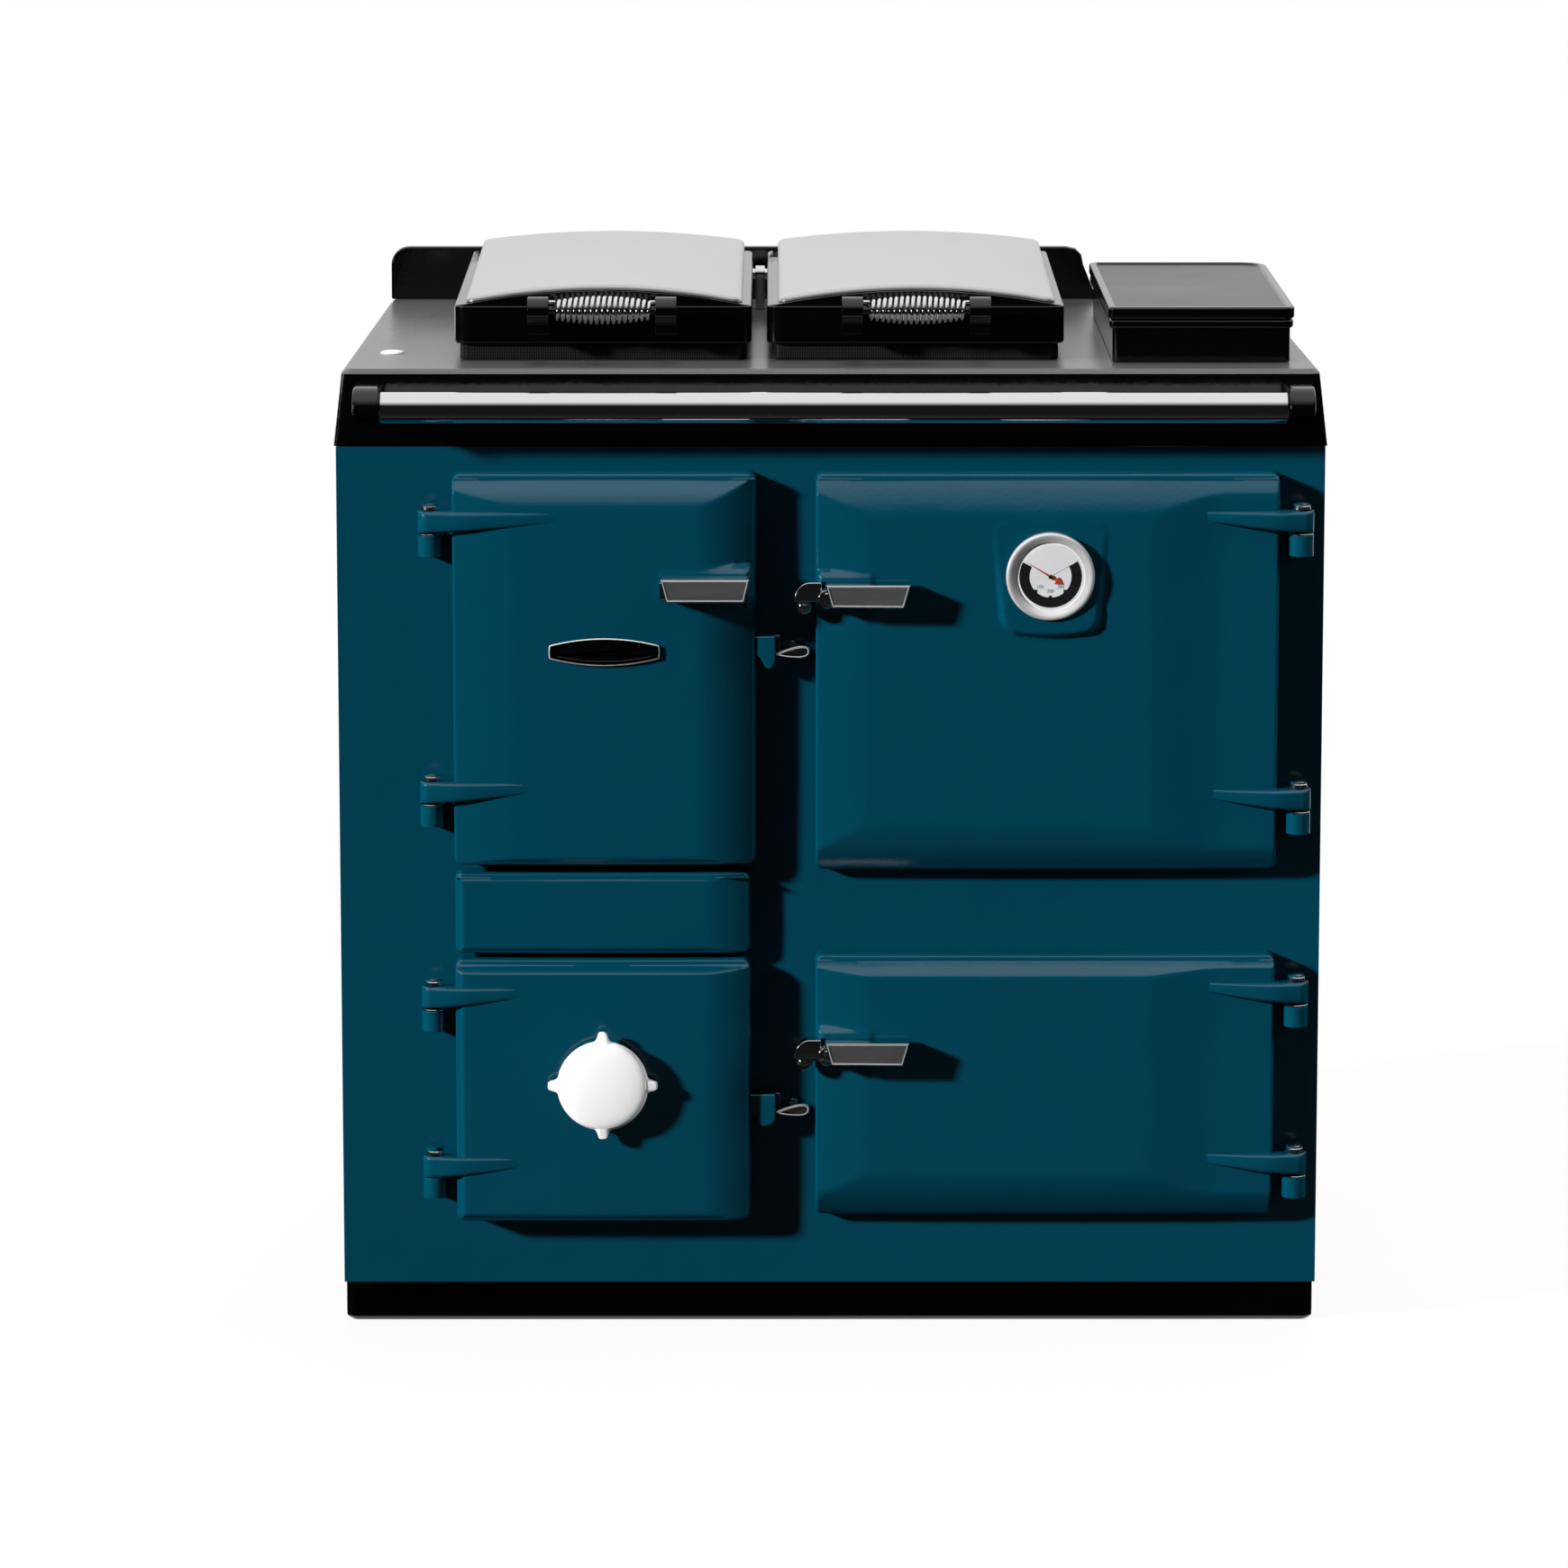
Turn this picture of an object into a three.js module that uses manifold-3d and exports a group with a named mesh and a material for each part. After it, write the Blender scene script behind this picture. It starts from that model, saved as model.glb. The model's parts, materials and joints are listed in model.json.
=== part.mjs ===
import * as THREE from "three";
import { mergeVertices } from "three/addons/utils/BufferGeometryUtils.js";
import Module from "manifold-3d";

const wasm = await Module();
wasm.setup();

// A solid-fuel range cooker. X runs to the right, Y to the back, Z up from the floor.
// Inside this file Y = 0 is the face of the front plate; the whole cooker is then moved
// forward so that the origin is the middle of the footprint.

// Driving dimensions, in millimetres.
const DEPTH = 600;
const SEAT = 0.3;

const PLINTH_HEIGHT = 43;
const PLINTH_SETBACK = 25;
const PLINTH_WALL = 4;
const PLINTH_CORNER = 8;
const BASE_THICKNESS = 12;
const PANEL_WALL = 6;
const SIDE_REVEAL = 2;

const SKIRT_HEIGHT = 72;
const SKIRT_FLARE = 7;
const SKIRT_OVERHANG = 6;
const TOP_WALL = 10;
const TOP_EDGE = 4;
const SPLASH_HEIGHT = 52;
const SPLASH_THICKNESS = 12;
const SPLASH_GAP = 3;
const SPLASH_SLANT = 14;
const SPLASH_RADIUS = 18;

const PLATE_THICKNESS = 10;
const LEFT_MARGIN = 108;
const LEFT_DOOR_WIDTH = 269;
const STILE_WIDTH = 59.5;
const RIGHT_DOOR_WIDTH = 419;
const RIGHT_MARGIN = 44.5;
const BOTTOM_RAIL = 68;
const ASHPIT_HEIGHT = 241;
const ASHPIT_INFILL_GAP = 5;
const INFILL_HEIGHT = 75.5;
const INFILL_FIREBOX_GAP = 8.5;
const INFILL_PROUD = 26;
const FIREBOX_HEIGHT = 358;
const TOP_RAIL = 19.7;
const LOWER_OVEN_HEIGHT = 245;
const MAIN_OVEN_HEIGHT = 365;
const DOOR_GAP = 1;
const DOOR_PROUD = 38;
const DOOR_CORNER = 12;
const DOOR_RIM = 26;
const DOOR_RIM_WIDTH = 8;
const DOOR_RIM_ROUND = 2.5;
const BEVEL_TOP = 30;
const BEVEL_SIDE = 34;
const BEVEL_BOTTOM = 42;
const CROWN_INSET = 46;
const CROWN_RISE = 3;
const APERTURE_LAP = 24;

const PIN_OFFSET = 20;
const PIN_STANDOFF = 25;
const PIN_RADIUS = 4;
const PIN_FIT = 0.4;
const PIN_SIDES = 12;
const PIN_HEAD_RADIUS = 7.5;
const PIN_HEAD_HEIGHT = 5;
const KNUCKLE_RADIUS = 11;
const ARM_HEIGHT = 21;
const ARM_REACH = 84;
const UPPER_ARM_DROP = 43;
const UPPER_ARM_RISE = 67;
const LOWER_ARM_DROP = 34;
const LOWER_ARM_RISE = 51;
const LUG_HEIGHT = 19;
const WASHER_GAP = 2;

const EAR_REACH = 22;
const EAR_HEIGHT = 28;
const EAR_FRONT = 24;
const EAR_BACK = 10;
const EAR_CHAMFER = 4;
const CATCH_LENGTH = 31;
const CATCH_WIDTH = 15.6;
const CATCH_THICKNESS = 12;
const CATCH_STUD_RADIUS = 5;
const CATCH_STANDOFF = 14;
const CATCH_RUNNING_GAP = 1.5;
const FIREBOX_CATCH_DROP = 163;
const ASHPIT_CATCH_RISE = 100;

const MAIN_LEVER_DROP = 109;
const LOWER_LEVER_DROP = 87;
const LEVER_LENGTH = 72;
const LEVER_HEIGHT = 20.5;
const LEVER_TIP_HEIGHT = 16;
const LEVER_THICKNESS = 14;
const LEVER_STANDOFF = 12;
const LEVER_BOSS_RADIUS = 9;
const LEVER_PIVOT_INSET = 10;
const LEVER_PIN_RADIUS = 3.5;
const LEVER_PAD = 1.5;
const LEVER_PAD_LENGTH = 52;
const LEVER_PAD_MARGIN = 1.5;
const HOOK_REACH = 21;
const HOOK_THICKNESS = 5;
const HOOK_HEIGHT = 16;
const HOOK_DROP = 1.5;
const KEEP_BALL_RADIUS = 6.2;
const KEEP_STUD_RADIUS = 3.4;
const KEEP_PROUD = 45;
const KEEP_CLEARANCE = 1;
const KEEP_COLLAR = 3;

const HANDLE_LENGTH = 82;
const HANDLE_DROP = 103.5;
const HANDLE_SLANT = 5;
const HANDLE_PAD_MARGIN = 3;
const HANDLE_HEIGHT = 26;
const HANDLE_THICKNESS = 14;
const HANDLE_STANDOFF = 14;
const HANDLE_POST = 12;

const BADGE_DROP = 163;
const BADGE_LENGTH = 104;
const BADGE_HEIGHT = 29.5;
const BADGE_THICKNESS = 3;

const GAUGE_OFFSET = 2;
const GAUGE_DROP = 91;
const GAUGE_RADIUS = 40;
const GAUGE_DEPTH = 12;
const GAUGE_FLOOR = 3;
const GAUGE_BEZEL = 9;
const GAUGE_GLASS = 1.5;
const GAUGE_GLASS_SETBACK = 3;
const GAUGE_BOSS_WIDTH = 94;
const GAUGE_BOSS_DROP = 58;
const GAUGE_BOSS_RISE = 8;
const POINTER_THICKNESS = 0.8;
const POINTER_LENGTH = 26;
const POINTER_TAIL = 13;
const POINTER_HALF = 1.2;
const POINTER_TAIL_HALF = 4;
const POINTER_TURN = 149;
const GAUGE_SPINDLE_RADIUS = 1.1;

const WHEEL_RISE = 129;
const WHEEL_RADIUS = 41.5;
const WHEEL_THICKNESS = 13;
const WHEEL_RIM = 5;
const WHEEL_NUB_THICKNESS = 7;
const WHEEL_NUBS = 4;
const WHEEL_NUB_RADIUS = 8.5;
const WHEEL_NUB_REACH = 50;
const WHEEL_HUB_RADIUS = 13;
const WHEEL_HUB_LENGTH = 8;
const WHEEL_AXLE_RADIUS = 5;
const WHEEL_STEM_RADIUS = 8;
const AIR_PORT_RADIUS = 6;
const AIR_PORT_CIRCLE = 26;

const RAIL_DROP = 30;
const RAIL_RADIUS = 14.3;
const RAIL_STANDOFF = 40;
const RAIL_LEFT_MARGIN = 44;
const RAIL_RIGHT_MARGIN = 39;
const BRACKET_WIDTH = 23;
const BRACKET_HEIGHT = 38;

const LID_WIDTH = 270;
const LID_FRONT = 67;
const LID_LENGTH = 423;
const LID_MARGIN = 107.5;
const LID_GAP = 15.5;
const LID_CORNER = 14;
const SEAL_HEIGHT = 7.5;
const SEAL_WIDTH = 12;
const SEAL_INSET = 6;
const LID_EDGE_HEIGHT = 37;
const LID_ARCH = 14;
const DOME_MARGIN = 7;
const DOME_EDGE = 4.5;
const DOME_RISE = 18;
const LID_GRID = 8;
const LID_AXIS_SETBACK = 15;
const LID_AXIS_RISE = 34;
const LID_ROD_RADIUS = 5;
const LID_LUG_RADIUS = 10.5;
const LID_LUG_WIDTH = 20;
const LID_LUG_INSET = 24;
const ROD_BRACKET_WIDTH = 9;
const ROD_BRACKET_WALL = 3;

const HOTPLATE_MARGIN = 26;
const HOTPLATE_FLANGE = 8;
const HOTPLATE_PROUD = 6;
const HOTPLATE_DEPTH = 38;
const HOTPLATE_FIT = 0.6;

const COIL_LENGTH = 97;
const COIL_TURNS = 17;
const COIL_WIRE_RADIUS = 1.9;
const COIL_END_RADIUS = 7.4;
const COIL_MID_RADIUS = 11.6;
const COIL_STEPS = 8;
const COIL_SIDES = 5;
const COIL_TAIL = 4.4;
const COIL_STANDOFF = 27;
const COIL_RISE = 49;
const COIL_CORE_RADIUS = 3.4;
const COIL_MOUNT_WIDTH = 19;
const COIL_MOUNT_RADIUS = 12.5;
const COIL_MOUNT_ARM = 16;
const COIL_ARM_RISE = 35;

const FLUE_MARGIN = 31;
const FLUE_WIDTH = 162;
const FLUE_FRONT = 50;
const FLUE_LENGTH = 396;
const FLUE_HEIGHT = 42;
const FLUE_WALL = 7;
const FLUE_COVER_THICKNESS = 14;
const FLUE_COVER_LAP = 4;
const FLUE_COVER_SPIGOT = 6;
const FLUE_COVER_PANEL = 12;
const FLUE_COVER_SINK = 2;
const SPIGOT_DROP = 151;
const SPIGOT_RADIUS = 65;
const SPIGOT_WALL = 6;
const SPIGOT_LENGTH = 30;

const OVEN_WALL = 4;
const OVEN_DEPTH = 430;
const LINER_CLEARANCE = 12;
const LINER_DEPTH = 16;
const SHELF_RAIL = 12;
const SHELF_BAR = 5;
const SHELF_BARS = 9;
const SHELF_FRONT_GAP = 30;
const SHELF_SIDE_GAP = 4;
const SHELF_SHARE = 0.45;

const FIRE_WALL = 5;
const FIRE_DEPTH = 330;
const GRATE_RISE = 289;
const GRATE_LEDGE = 44;
const GRATE_LEDGE_HEIGHT = 10;
const GRATE_THICKNESS = 14;
const GRATE_BARS = 7;
const GRATE_BAR = 9;
const GRATE_SIDE_GAP = 3;
const GRATE_END_GAP = 16;
const BRICK_THICKNESS = 28;
const BRICK_HEIGHT = 320;
const BRICK_FRONT_GAP = 34;
const ASH_PAN_HEIGHT = 44;
const ASH_PAN_WALL = 3;
const ASH_PAN_SIDE_GAP = 14;
const ASH_PAN_FRONT_GAP = 26;

// Places that follow from the dimensions above.
const width = LEFT_MARGIN + LEFT_DOOR_WIDTH + STILE_WIDTH + RIGHT_DOOR_WIDTH + RIGHT_MARGIN;
const halfWidth = width / 2;
const leftX = -halfWidth + LEFT_MARGIN;
const rightX = halfWidth - RIGHT_MARGIN - RIGHT_DOOR_WIDTH;
const bodyBottom = PLINTH_HEIGHT + SEAT;
const innerFloor = bodyBottom + BASE_THICKNESS;
const lowerZ = PLINTH_HEIGHT + BOTTOM_RAIL;
const infillZ = lowerZ + ASHPIT_HEIGHT + ASHPIT_INFILL_GAP;
const fireboxZ = infillZ + INFILL_HEIGHT + INFILL_FIREBOX_GAP;
const doorsTop = fireboxZ + FIREBOX_HEIGHT;
const bodyTop = doorsTop + TOP_RAIL;
const skirtBottom = bodyTop + SEAT;
const topHeight = skirtBottom + SKIRT_HEIGHT;
const plateHalf = halfWidth - SIDE_REVEAL;
const panelFront = PLATE_THICKNESS + SEAT;
const bodyBack = DEPTH - SIDE_REVEAL;
const backFront = bodyBack - PANEL_WALL;
const topHalf = halfWidth - SKIRT_FLARE;
const lidBottom = topHeight + SEAT + SEAL_HEIGHT + SEAT;
const lidEdgeTop = lidBottom + LID_EDGE_HEIGHT;
const lidBack = LID_FRONT + LID_LENGTH;
const leftLidX = -halfWidth + LID_MARGIN;
const lidXs = [leftLidX, leftLidX + LID_WIDTH + LID_GAP];
const lidAxisY = lidBack + LID_AXIS_SETBACK;
const lidAxisZ = topHeight + LID_AXIS_RISE;
const coilZ = topHeight + COIL_RISE;
const railZ = topHeight - RAIL_DROP;
const flueX = halfWidth - FLUE_MARGIN - FLUE_WIDTH;
const splashRight = flueX - SPLASH_GAP;
const spigotX = flueX + FLUE_WIDTH / 2;
const spigotZ = topHeight - SPIGOT_DROP;
const grateZ = lowerZ + GRATE_RISE;
const leverFront = -DOOR_PROUD - LEVER_STANDOFF - LEVER_THICKNESS;
const leverBack = -DOOR_PROUD - LEVER_PAD - SEAT;
const fireboxCatchZ = doorsTop - FIREBOX_CATCH_DROP;
const ashpitCatchZ = lowerZ + ASHPIT_CATCH_RISE;
const mainLeverZ = doorsTop - MAIN_LEVER_DROP;
const lowerLeverZ = lowerZ + LOWER_OVEN_HEIGHT - LOWER_LEVER_DROP;
const handleX = leftX + LEFT_DOOR_WIDTH - HANDLE_LENGTH;
const handleZ = doorsTop - HANDLE_DROP;
const badgeZ = doorsTop - BADGE_DROP;
const gaugeX = rightX + RIGHT_DOOR_WIDTH / 2 + GAUGE_OFFSET;
const gaugeZ = doorsTop - GAUGE_DROP;
const wheelZ = lowerZ + WHEEL_RISE;
const upperArms = { drop: UPPER_ARM_DROP, rise: UPPER_ARM_RISE };
const lowerArms = { drop: LOWER_ARM_DROP, rise: LOWER_ARM_RISE };

const doors = {
  firebox: doorFrame(leftX, LEFT_DOOR_WIDTH, fireboxZ, FIREBOX_HEIGHT, -1, upperArms),
  ashpit: doorFrame(leftX, LEFT_DOOR_WIDTH, lowerZ, ASHPIT_HEIGHT, -1, lowerArms),
  mainOven: doorFrame(rightX, RIGHT_DOOR_WIDTH, doorsTop - MAIN_OVEN_HEIGHT, MAIN_OVEN_HEIGHT, 1, upperArms),
  lowerOven: doorFrame(rightX, RIGHT_DOOR_WIDTH, lowerZ, LOWER_OVEN_HEIGHT, 1, lowerArms),
};

// Materials.
function enamel(color) {
  return new THREE.MeshStandardMaterial({ color, roughness: 0.12, metalness: 0 });
}

function metal(color, roughness) {
  return new THREE.MeshStandardMaterial({ color, roughness, metalness: 1 });
}

function matte(color, roughness = 0.85) {
  return new THREE.MeshStandardMaterial({ color, roughness, metalness: 0 });
}

const tealEnamel = enamel(0x014252);
const blackEnamel = enamel(0x060607);
const chrome = metal(0xd8d8d8, 0.07);
const groundIron = metal(0x3a3a3b, 0.42);
const castIron = matte(0x2b2a29, 0.7);
const sheetSteel = metal(0x8d8f90, 0.4);
const ropeSeal = matte(0xa9a59c);
const fireBrick = matte(0xc9ab82);
const dialFace = matte(0xf1f1ee, 0.5);
const pointerRed = matte(0xc2281c, 0.45);
const clearGlass = new THREE.MeshStandardMaterial({
  color: 0xf4f8f8,
  roughness: 0.03,
  metalness: 0,
  transparent: true,
  opacity: 0.25,
});

// Solids. Every helper returns a closed solid in the cooker's axes.
function toSolid(geometry) {
  const loose = geometry.index ? geometry.toNonIndexed() : geometry;
  const bare = new THREE.BufferGeometry();
  bare.setAttribute("position", loose.getAttribute("position"));
  const merged = mergeVertices(bare, 1e-4);
  const corners = merged.index.array;
  const kept = [];
  for (let i = 0; i < corners.length; i += 3) {
    const [a, b, c] = [corners[i], corners[i + 1], corners[i + 2]];
    if (a !== b && b !== c && c !== a) kept.push(a, b, c);
  }
  const make = (triVerts) =>
    new wasm.Manifold(
      new wasm.Mesh({
        numProp: 3,
        vertProperties: new Float32Array(merged.attributes.position.array),
        triVerts: new Uint32Array(triVerts),
      }),
    );
  const solid = make(kept);
  return solid.volume() > 0 ? solid : make(kept.reverse());
}

function join(...solids) {
  return solids.flat().reduce((whole, next) => whole.add(next));
}

function box(x0, x1, y0, y1, z0, z1) {
  const geometry = new THREE.BoxGeometry(x1 - x0, y1 - y0, z1 - z0);
  geometry.translate((x0 + x1) / 2, (y0 + y1) / 2, (z0 + z1) / 2);
  return toSolid(geometry);
}

function polygon(points) {
  return new THREE.Shape(points.map(([a, b]) => new THREE.Vector2(a, b)));
}

function disc(a, b, radius, sides = 24) {
  const points = [];
  for (let i = 0; i < sides; i += 1) {
    const turn = (2 * Math.PI * i) / sides;
    points.push([a + radius * Math.cos(turn), b + radius * Math.sin(turn)]);
  }
  return polygon(points);
}

function roundedRectangle(a0, a1, b0, b1, radius) {
  const shape = new THREE.Shape();
  shape.moveTo(a0 + radius, b0);
  shape.absarc(a1 - radius, b0 + radius, radius, -Math.PI / 2, 0);
  shape.absarc(a1 - radius, b1 - radius, radius, 0, Math.PI / 2);
  shape.absarc(a0 + radius, b1 - radius, radius, Math.PI / 2, Math.PI);
  shape.absarc(a0 + radius, b0 + radius, radius, Math.PI, 1.5 * Math.PI);
  return shape;
}

// A shape drawn in the plane square to an axis, drawn out along it from one place to another.
function prism(shape, axis, from, to, curveSegments = 4) {
  const geometry = new THREE.ExtrudeGeometry(shape, {
    depth: to - from,
    bevelEnabled: false,
    curveSegments,
  });
  if (axis === "x") {
    const turn = new THREE.Matrix4().makeBasis(
      new THREE.Vector3(0, 1, 0),
      new THREE.Vector3(0, 0, 1),
      new THREE.Vector3(1, 0, 0),
    );
    geometry.applyMatrix4(turn).translate(from, 0, 0);
  } else if (axis === "y") {
    geometry.rotateX(Math.PI / 2).translate(0, to, 0);
  } else {
    geometry.translate(0, 0, from);
  }
  return toSolid(geometry);
}

// A turned piece whose axis points out of the front; profile points are [radius, height].
function turned(profile, x, y, z, segments = 32) {
  const points = profile.map(([radius, height]) => new THREE.Vector2(radius, height));
  const geometry = new THREE.LatheGeometry(points, segments);
  geometry.rotateX(Math.PI).translate(x, y, z);
  return toSolid(geometry);
}

// Rings of equal point count joined by a skin, with both ends closed.
function skinRings(rings) {
  const vertices = rings.flat(2);
  const count = rings[0].length;
  const faces = [];
  for (let r = 0; r + 1 < rings.length; r += 1) {
    for (let i = 0; i < count; i += 1) {
      const a = r * count + i;
      const b = r * count + ((i + 1) % count);
      faces.push(a, b, b + count, a, b + count, a + count);
    }
  }
  const last = (rings.length - 1) * count;
  for (let i = 1; i + 1 < count; i += 1) {
    faces.push(0, i + 1, i, last, last + i, last + i + 1);
  }
  const geometry = new THREE.BufferGeometry();
  geometry.setAttribute("position", new THREE.Float32BufferAttribute(vertices, 3));
  geometry.setIndex(faces);
  return toSolid(geometry);
}

// One ring of a raised panel: the door outline drawn in by the given insets at depth y.
function panelRing(frame, inset, radius, y) {
  const corner = roundedRectangle(
    frame.x0 + inset.left,
    frame.x1 - inset.right,
    frame.z0 + inset.bottom,
    frame.z1 - inset.top,
    radius,
  );
  const points = corner.getPoints(2);
  const last = points[points.length - 1];
  if (last.distanceTo(points[0]) < 0.001) points.pop();
  return points.map((p) => [p.x, y, p.y]);
}

function evenInset(amount) {
  return { left: amount, right: amount, bottom: amount, top: amount };
}

// A height field between two surfaces over a rectangle, closed at its sides.
function heightField(x0, x1, y0, y1, steps, bottomAt, topAt) {
  const vertices = [];
  for (const heightAt of [bottomAt, topAt]) {
    for (let j = 0; j <= steps; j += 1) {
      for (let i = 0; i <= steps; i += 1) {
        const u = (2 * i) / steps - 1;
        const v = (2 * j) / steps - 1;
        const x = x0 + ((x1 - x0) * i) / steps;
        const y = y0 + ((y1 - y0) * j) / steps;
        vertices.push(x, y, heightAt(u, v));
      }
    }
  }
  const row = steps + 1;
  const upper = row * row;
  const faces = [];
  const quad = (a, b, c, d) => faces.push(a, b, c, a, c, d);
  for (let j = 0; j < steps; j += 1) {
    for (let i = 0; i < steps; i += 1) {
      const a = j * row + i;
      quad(a, a + row, a + row + 1, a + 1);
      quad(upper + a, upper + a + 1, upper + a + row + 1, upper + a + row);
    }
  }
  for (let i = 0; i < steps; i += 1) {
    const back = steps * row + i;
    const left = i * row;
    const right = i * row + steps;
    quad(i, i + 1, upper + i + 1, upper + i);
    quad(back + 1, back, upper + back, upper + back + 1);
    quad(left + row, left, upper + left, upper + left + row);
    quad(right, right + row, upper + right + row, upper + right);
  }
  const geometry = new THREE.BufferGeometry();
  geometry.setAttribute("position", new THREE.Float32BufferAttribute(vertices, 3));
  geometry.setIndex(faces);
  return toSolid(geometry);
}

const cooker = new THREE.Group();
cooker.position.y = -DEPTH / 2;

function addPiece(name, solid, material) {
  const mesh = solid.getMesh();
  const geometry = new THREE.BufferGeometry();
  geometry.setAttribute("position", new THREE.Float32BufferAttribute(mesh.vertProperties, 3));
  geometry.setIndex(new THREE.Uint32BufferAttribute(mesh.triVerts, 1));
  const piece = new THREE.Mesh(geometry, material);
  piece.name = name;
  cooker.add(piece);
}

// The outline of one door on the front plate, and where its hinge pins and arms lie.
function doorFrame(x, width, z, height, hingeSide, arms) {
  const x0 = x;
  const x1 = x + width;
  const hingeEdge = hingeSide < 0 ? x0 : x1;
  return {
    x0,
    x1,
    z0: z,
    z1: z + height,
    hingeSide,
    pinX: hingeEdge + hingeSide * PIN_OFFSET,
    armZs: [z + arms.rise, z + height - arms.drop],
  };
}

function aperture(frame, y0, y1, margin = 0) {
  const lap = APERTURE_LAP - margin;
  return box(frame.x0 + lap, frame.x1 - lap, y0, y1, frame.z0 + lap, frame.z1 - lap);
}

// The tapering arm of a door hinge, from the knuckle round the pin to the door's face.
function hingeArm(frame, z) {
  const at = (inward, y) => [frame.pinX - frame.hingeSide * inward, y];
  const points = [];
  for (let i = 0; i <= 6; i += 1) {
    const turn = Math.PI / 2 + (Math.PI * i) / 6;
    const inward = KNUCKLE_RADIUS * Math.cos(turn);
    points.push(at(inward, -PIN_STANDOFF + KNUCKLE_RADIUS * Math.sin(turn)));
  }
  const tip = PIN_OFFSET + ARM_REACH;
  points.push(at(PIN_OFFSET, -DOOR_PROUD));
  points.push(at(tip, -DOOR_PROUD + CROWN_RISE));
  points.push(at(tip, -PIN_STANDOFF + KNUCKLE_RADIUS));
  return prism(polygon(points), "z", z - ARM_HEIGHT / 2, z + ARM_HEIGHT / 2);
}

// One door casting: bead rim, bevels, crowned face and two hinge arms bored for the pins.
function doorCasting(frame) {
  const bevel = { left: BEVEL_SIDE, right: BEVEL_SIDE, bottom: BEVEL_BOTTOM, top: BEVEL_TOP };
  const crown = Object.fromEntries(
    Object.entries(bevel).map(([side, inset]) => [side, inset + CROWN_INSET]),
  );
  const panel = skinRings([
    panelRing(frame, evenInset(0), DOOR_CORNER, -DOOR_GAP),
    panelRing(frame, evenInset(0), DOOR_CORNER, -DOOR_RIM + DOOR_RIM_ROUND),
    panelRing(frame, evenInset(DOOR_RIM_ROUND), DOOR_CORNER, -DOOR_RIM),
    panelRing(frame, evenInset(DOOR_RIM_WIDTH), DOOR_CORNER, -DOOR_RIM),
    panelRing(frame, bevel, DOOR_CORNER, -DOOR_PROUD + CROWN_RISE),
    panelRing(frame, crown, DOOR_CORNER, -DOOR_PROUD),
  ]);
  const arms = frame.armZs.map((z) => hingeArm(frame, z));
  const bore = disc(frame.pinX, -PIN_STANDOFF, PIN_RADIUS + PIN_FIT, PIN_SIDES);
  return join(panel, arms).subtract(prism(bore, "z", frame.z0, frame.z1));
}

// The lug under each hinge arm, with its fixed pin and the pin's head above the arm.
function hingeLug(frame, z) {
  const armBottom = z - ARM_HEIGHT / 2;
  const armTop = z + ARM_HEIGHT / 2;
  const lugTop = armBottom - WASHER_GAP;
  const points = [];
  for (let i = 0; i <= 6; i += 1) {
    const turn = -Math.PI + (Math.PI * i) / 6;
    points.push([
      frame.pinX + KNUCKLE_RADIUS * Math.cos(turn),
      -PIN_STANDOFF + KNUCKLE_RADIUS * Math.sin(turn),
    ]);
  }
  points.push([frame.pinX + KNUCKLE_RADIUS, PLATE_THICKNESS / 2]);
  points.push([frame.pinX - KNUCKLE_RADIUS, PLATE_THICKNESS / 2]);
  const headBottom = armTop + PIN_FIT;
  const shank = disc(frame.pinX, -PIN_STANDOFF, PIN_RADIUS, PIN_SIDES);
  const head = disc(frame.pinX, -PIN_STANDOFF, PIN_HEAD_RADIUS, PIN_SIDES);
  return join(
    prism(polygon(points), "z", lugTop - LUG_HEIGHT, lugTop),
    prism(shank, "z", lugTop - LUG_HEIGHT / 2, headBottom + PIN_HEAD_HEIGHT / 2),
    prism(head, "z", headBottom, headBottom + PIN_HEAD_HEIGHT),
  );
}

function frontPlate() {
  let plate = box(-plateHalf, plateHalf, 0, PLATE_THICKNESS, bodyBottom, bodyTop);
  for (const frame of Object.values(doors)) {
    plate = plate.subtract(aperture(frame, -1, PLATE_THICKNESS + 1));
    plate = join(plate, frame.armZs.map((z) => hingeLug(frame, z)));
  }
  return plate;
}

function plateRing(x0, x1, y0, y1, radius, z) {
  const points = roundedRectangle(x0, x1, y0, y1, radius).getPoints(2);
  if (points[points.length - 1].distanceTo(points[0]) < 0.001) points.pop();
  return points.map((p) => [p.x, p.y, z]);
}

// A shallow tray under the body: its floor stands on the ground.
function plinth() {
  const y0 = PLINTH_SETBACK;
  const y1 = DEPTH - PLINTH_SETBACK;
  const x = plateHalf;
  const wall = PLINTH_WALL;
  const outer = skinRings([
    plateRing(-x + wall, x - wall, y0 + wall, y1 - wall, PLINTH_CORNER, 0),
    plateRing(-x, x, y0, y1, PLINTH_CORNER, wall),
    plateRing(-x, x, y0, y1, PLINTH_CORNER, PLINTH_HEIGHT),
  ]);
  const inside = box(-x + wall, x - wall, y0 + wall, y1 - wall, wall, PLINTH_HEIGHT + 1);
  return outer.subtract(inside);
}

function baseAndPanels() {
  const innerHalf = plateHalf - PANEL_WALL;
  const y0 = panelFront;
  const y1 = backFront - SEAT;
  const x = innerHalf - SEAT;
  addPiece("base_plate", box(-x, x, y0, y1, bodyBottom, innerFloor), castIron);
  for (const [name, side] of [["left_side_panel", -1], ["right_side_panel", 1]]) {
    const edges = [side * innerHalf, side * plateHalf].sort((a, b) => a - b);
    addPiece(name, box(...edges, y0, y1, bodyBottom, bodyTop), tealEnamel);
  }
  const flueHole = disc(spigotX, spigotZ, SPIGOT_RADIUS - SPIGOT_WALL);
  const back = box(-plateHalf, plateHalf, backFront, bodyBack, bodyBottom, bodyTop);
  addPiece("back_panel", back.subtract(prism(flueHole, "y", backFront - 1, DEPTH)), sheetSteel);
}

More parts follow.
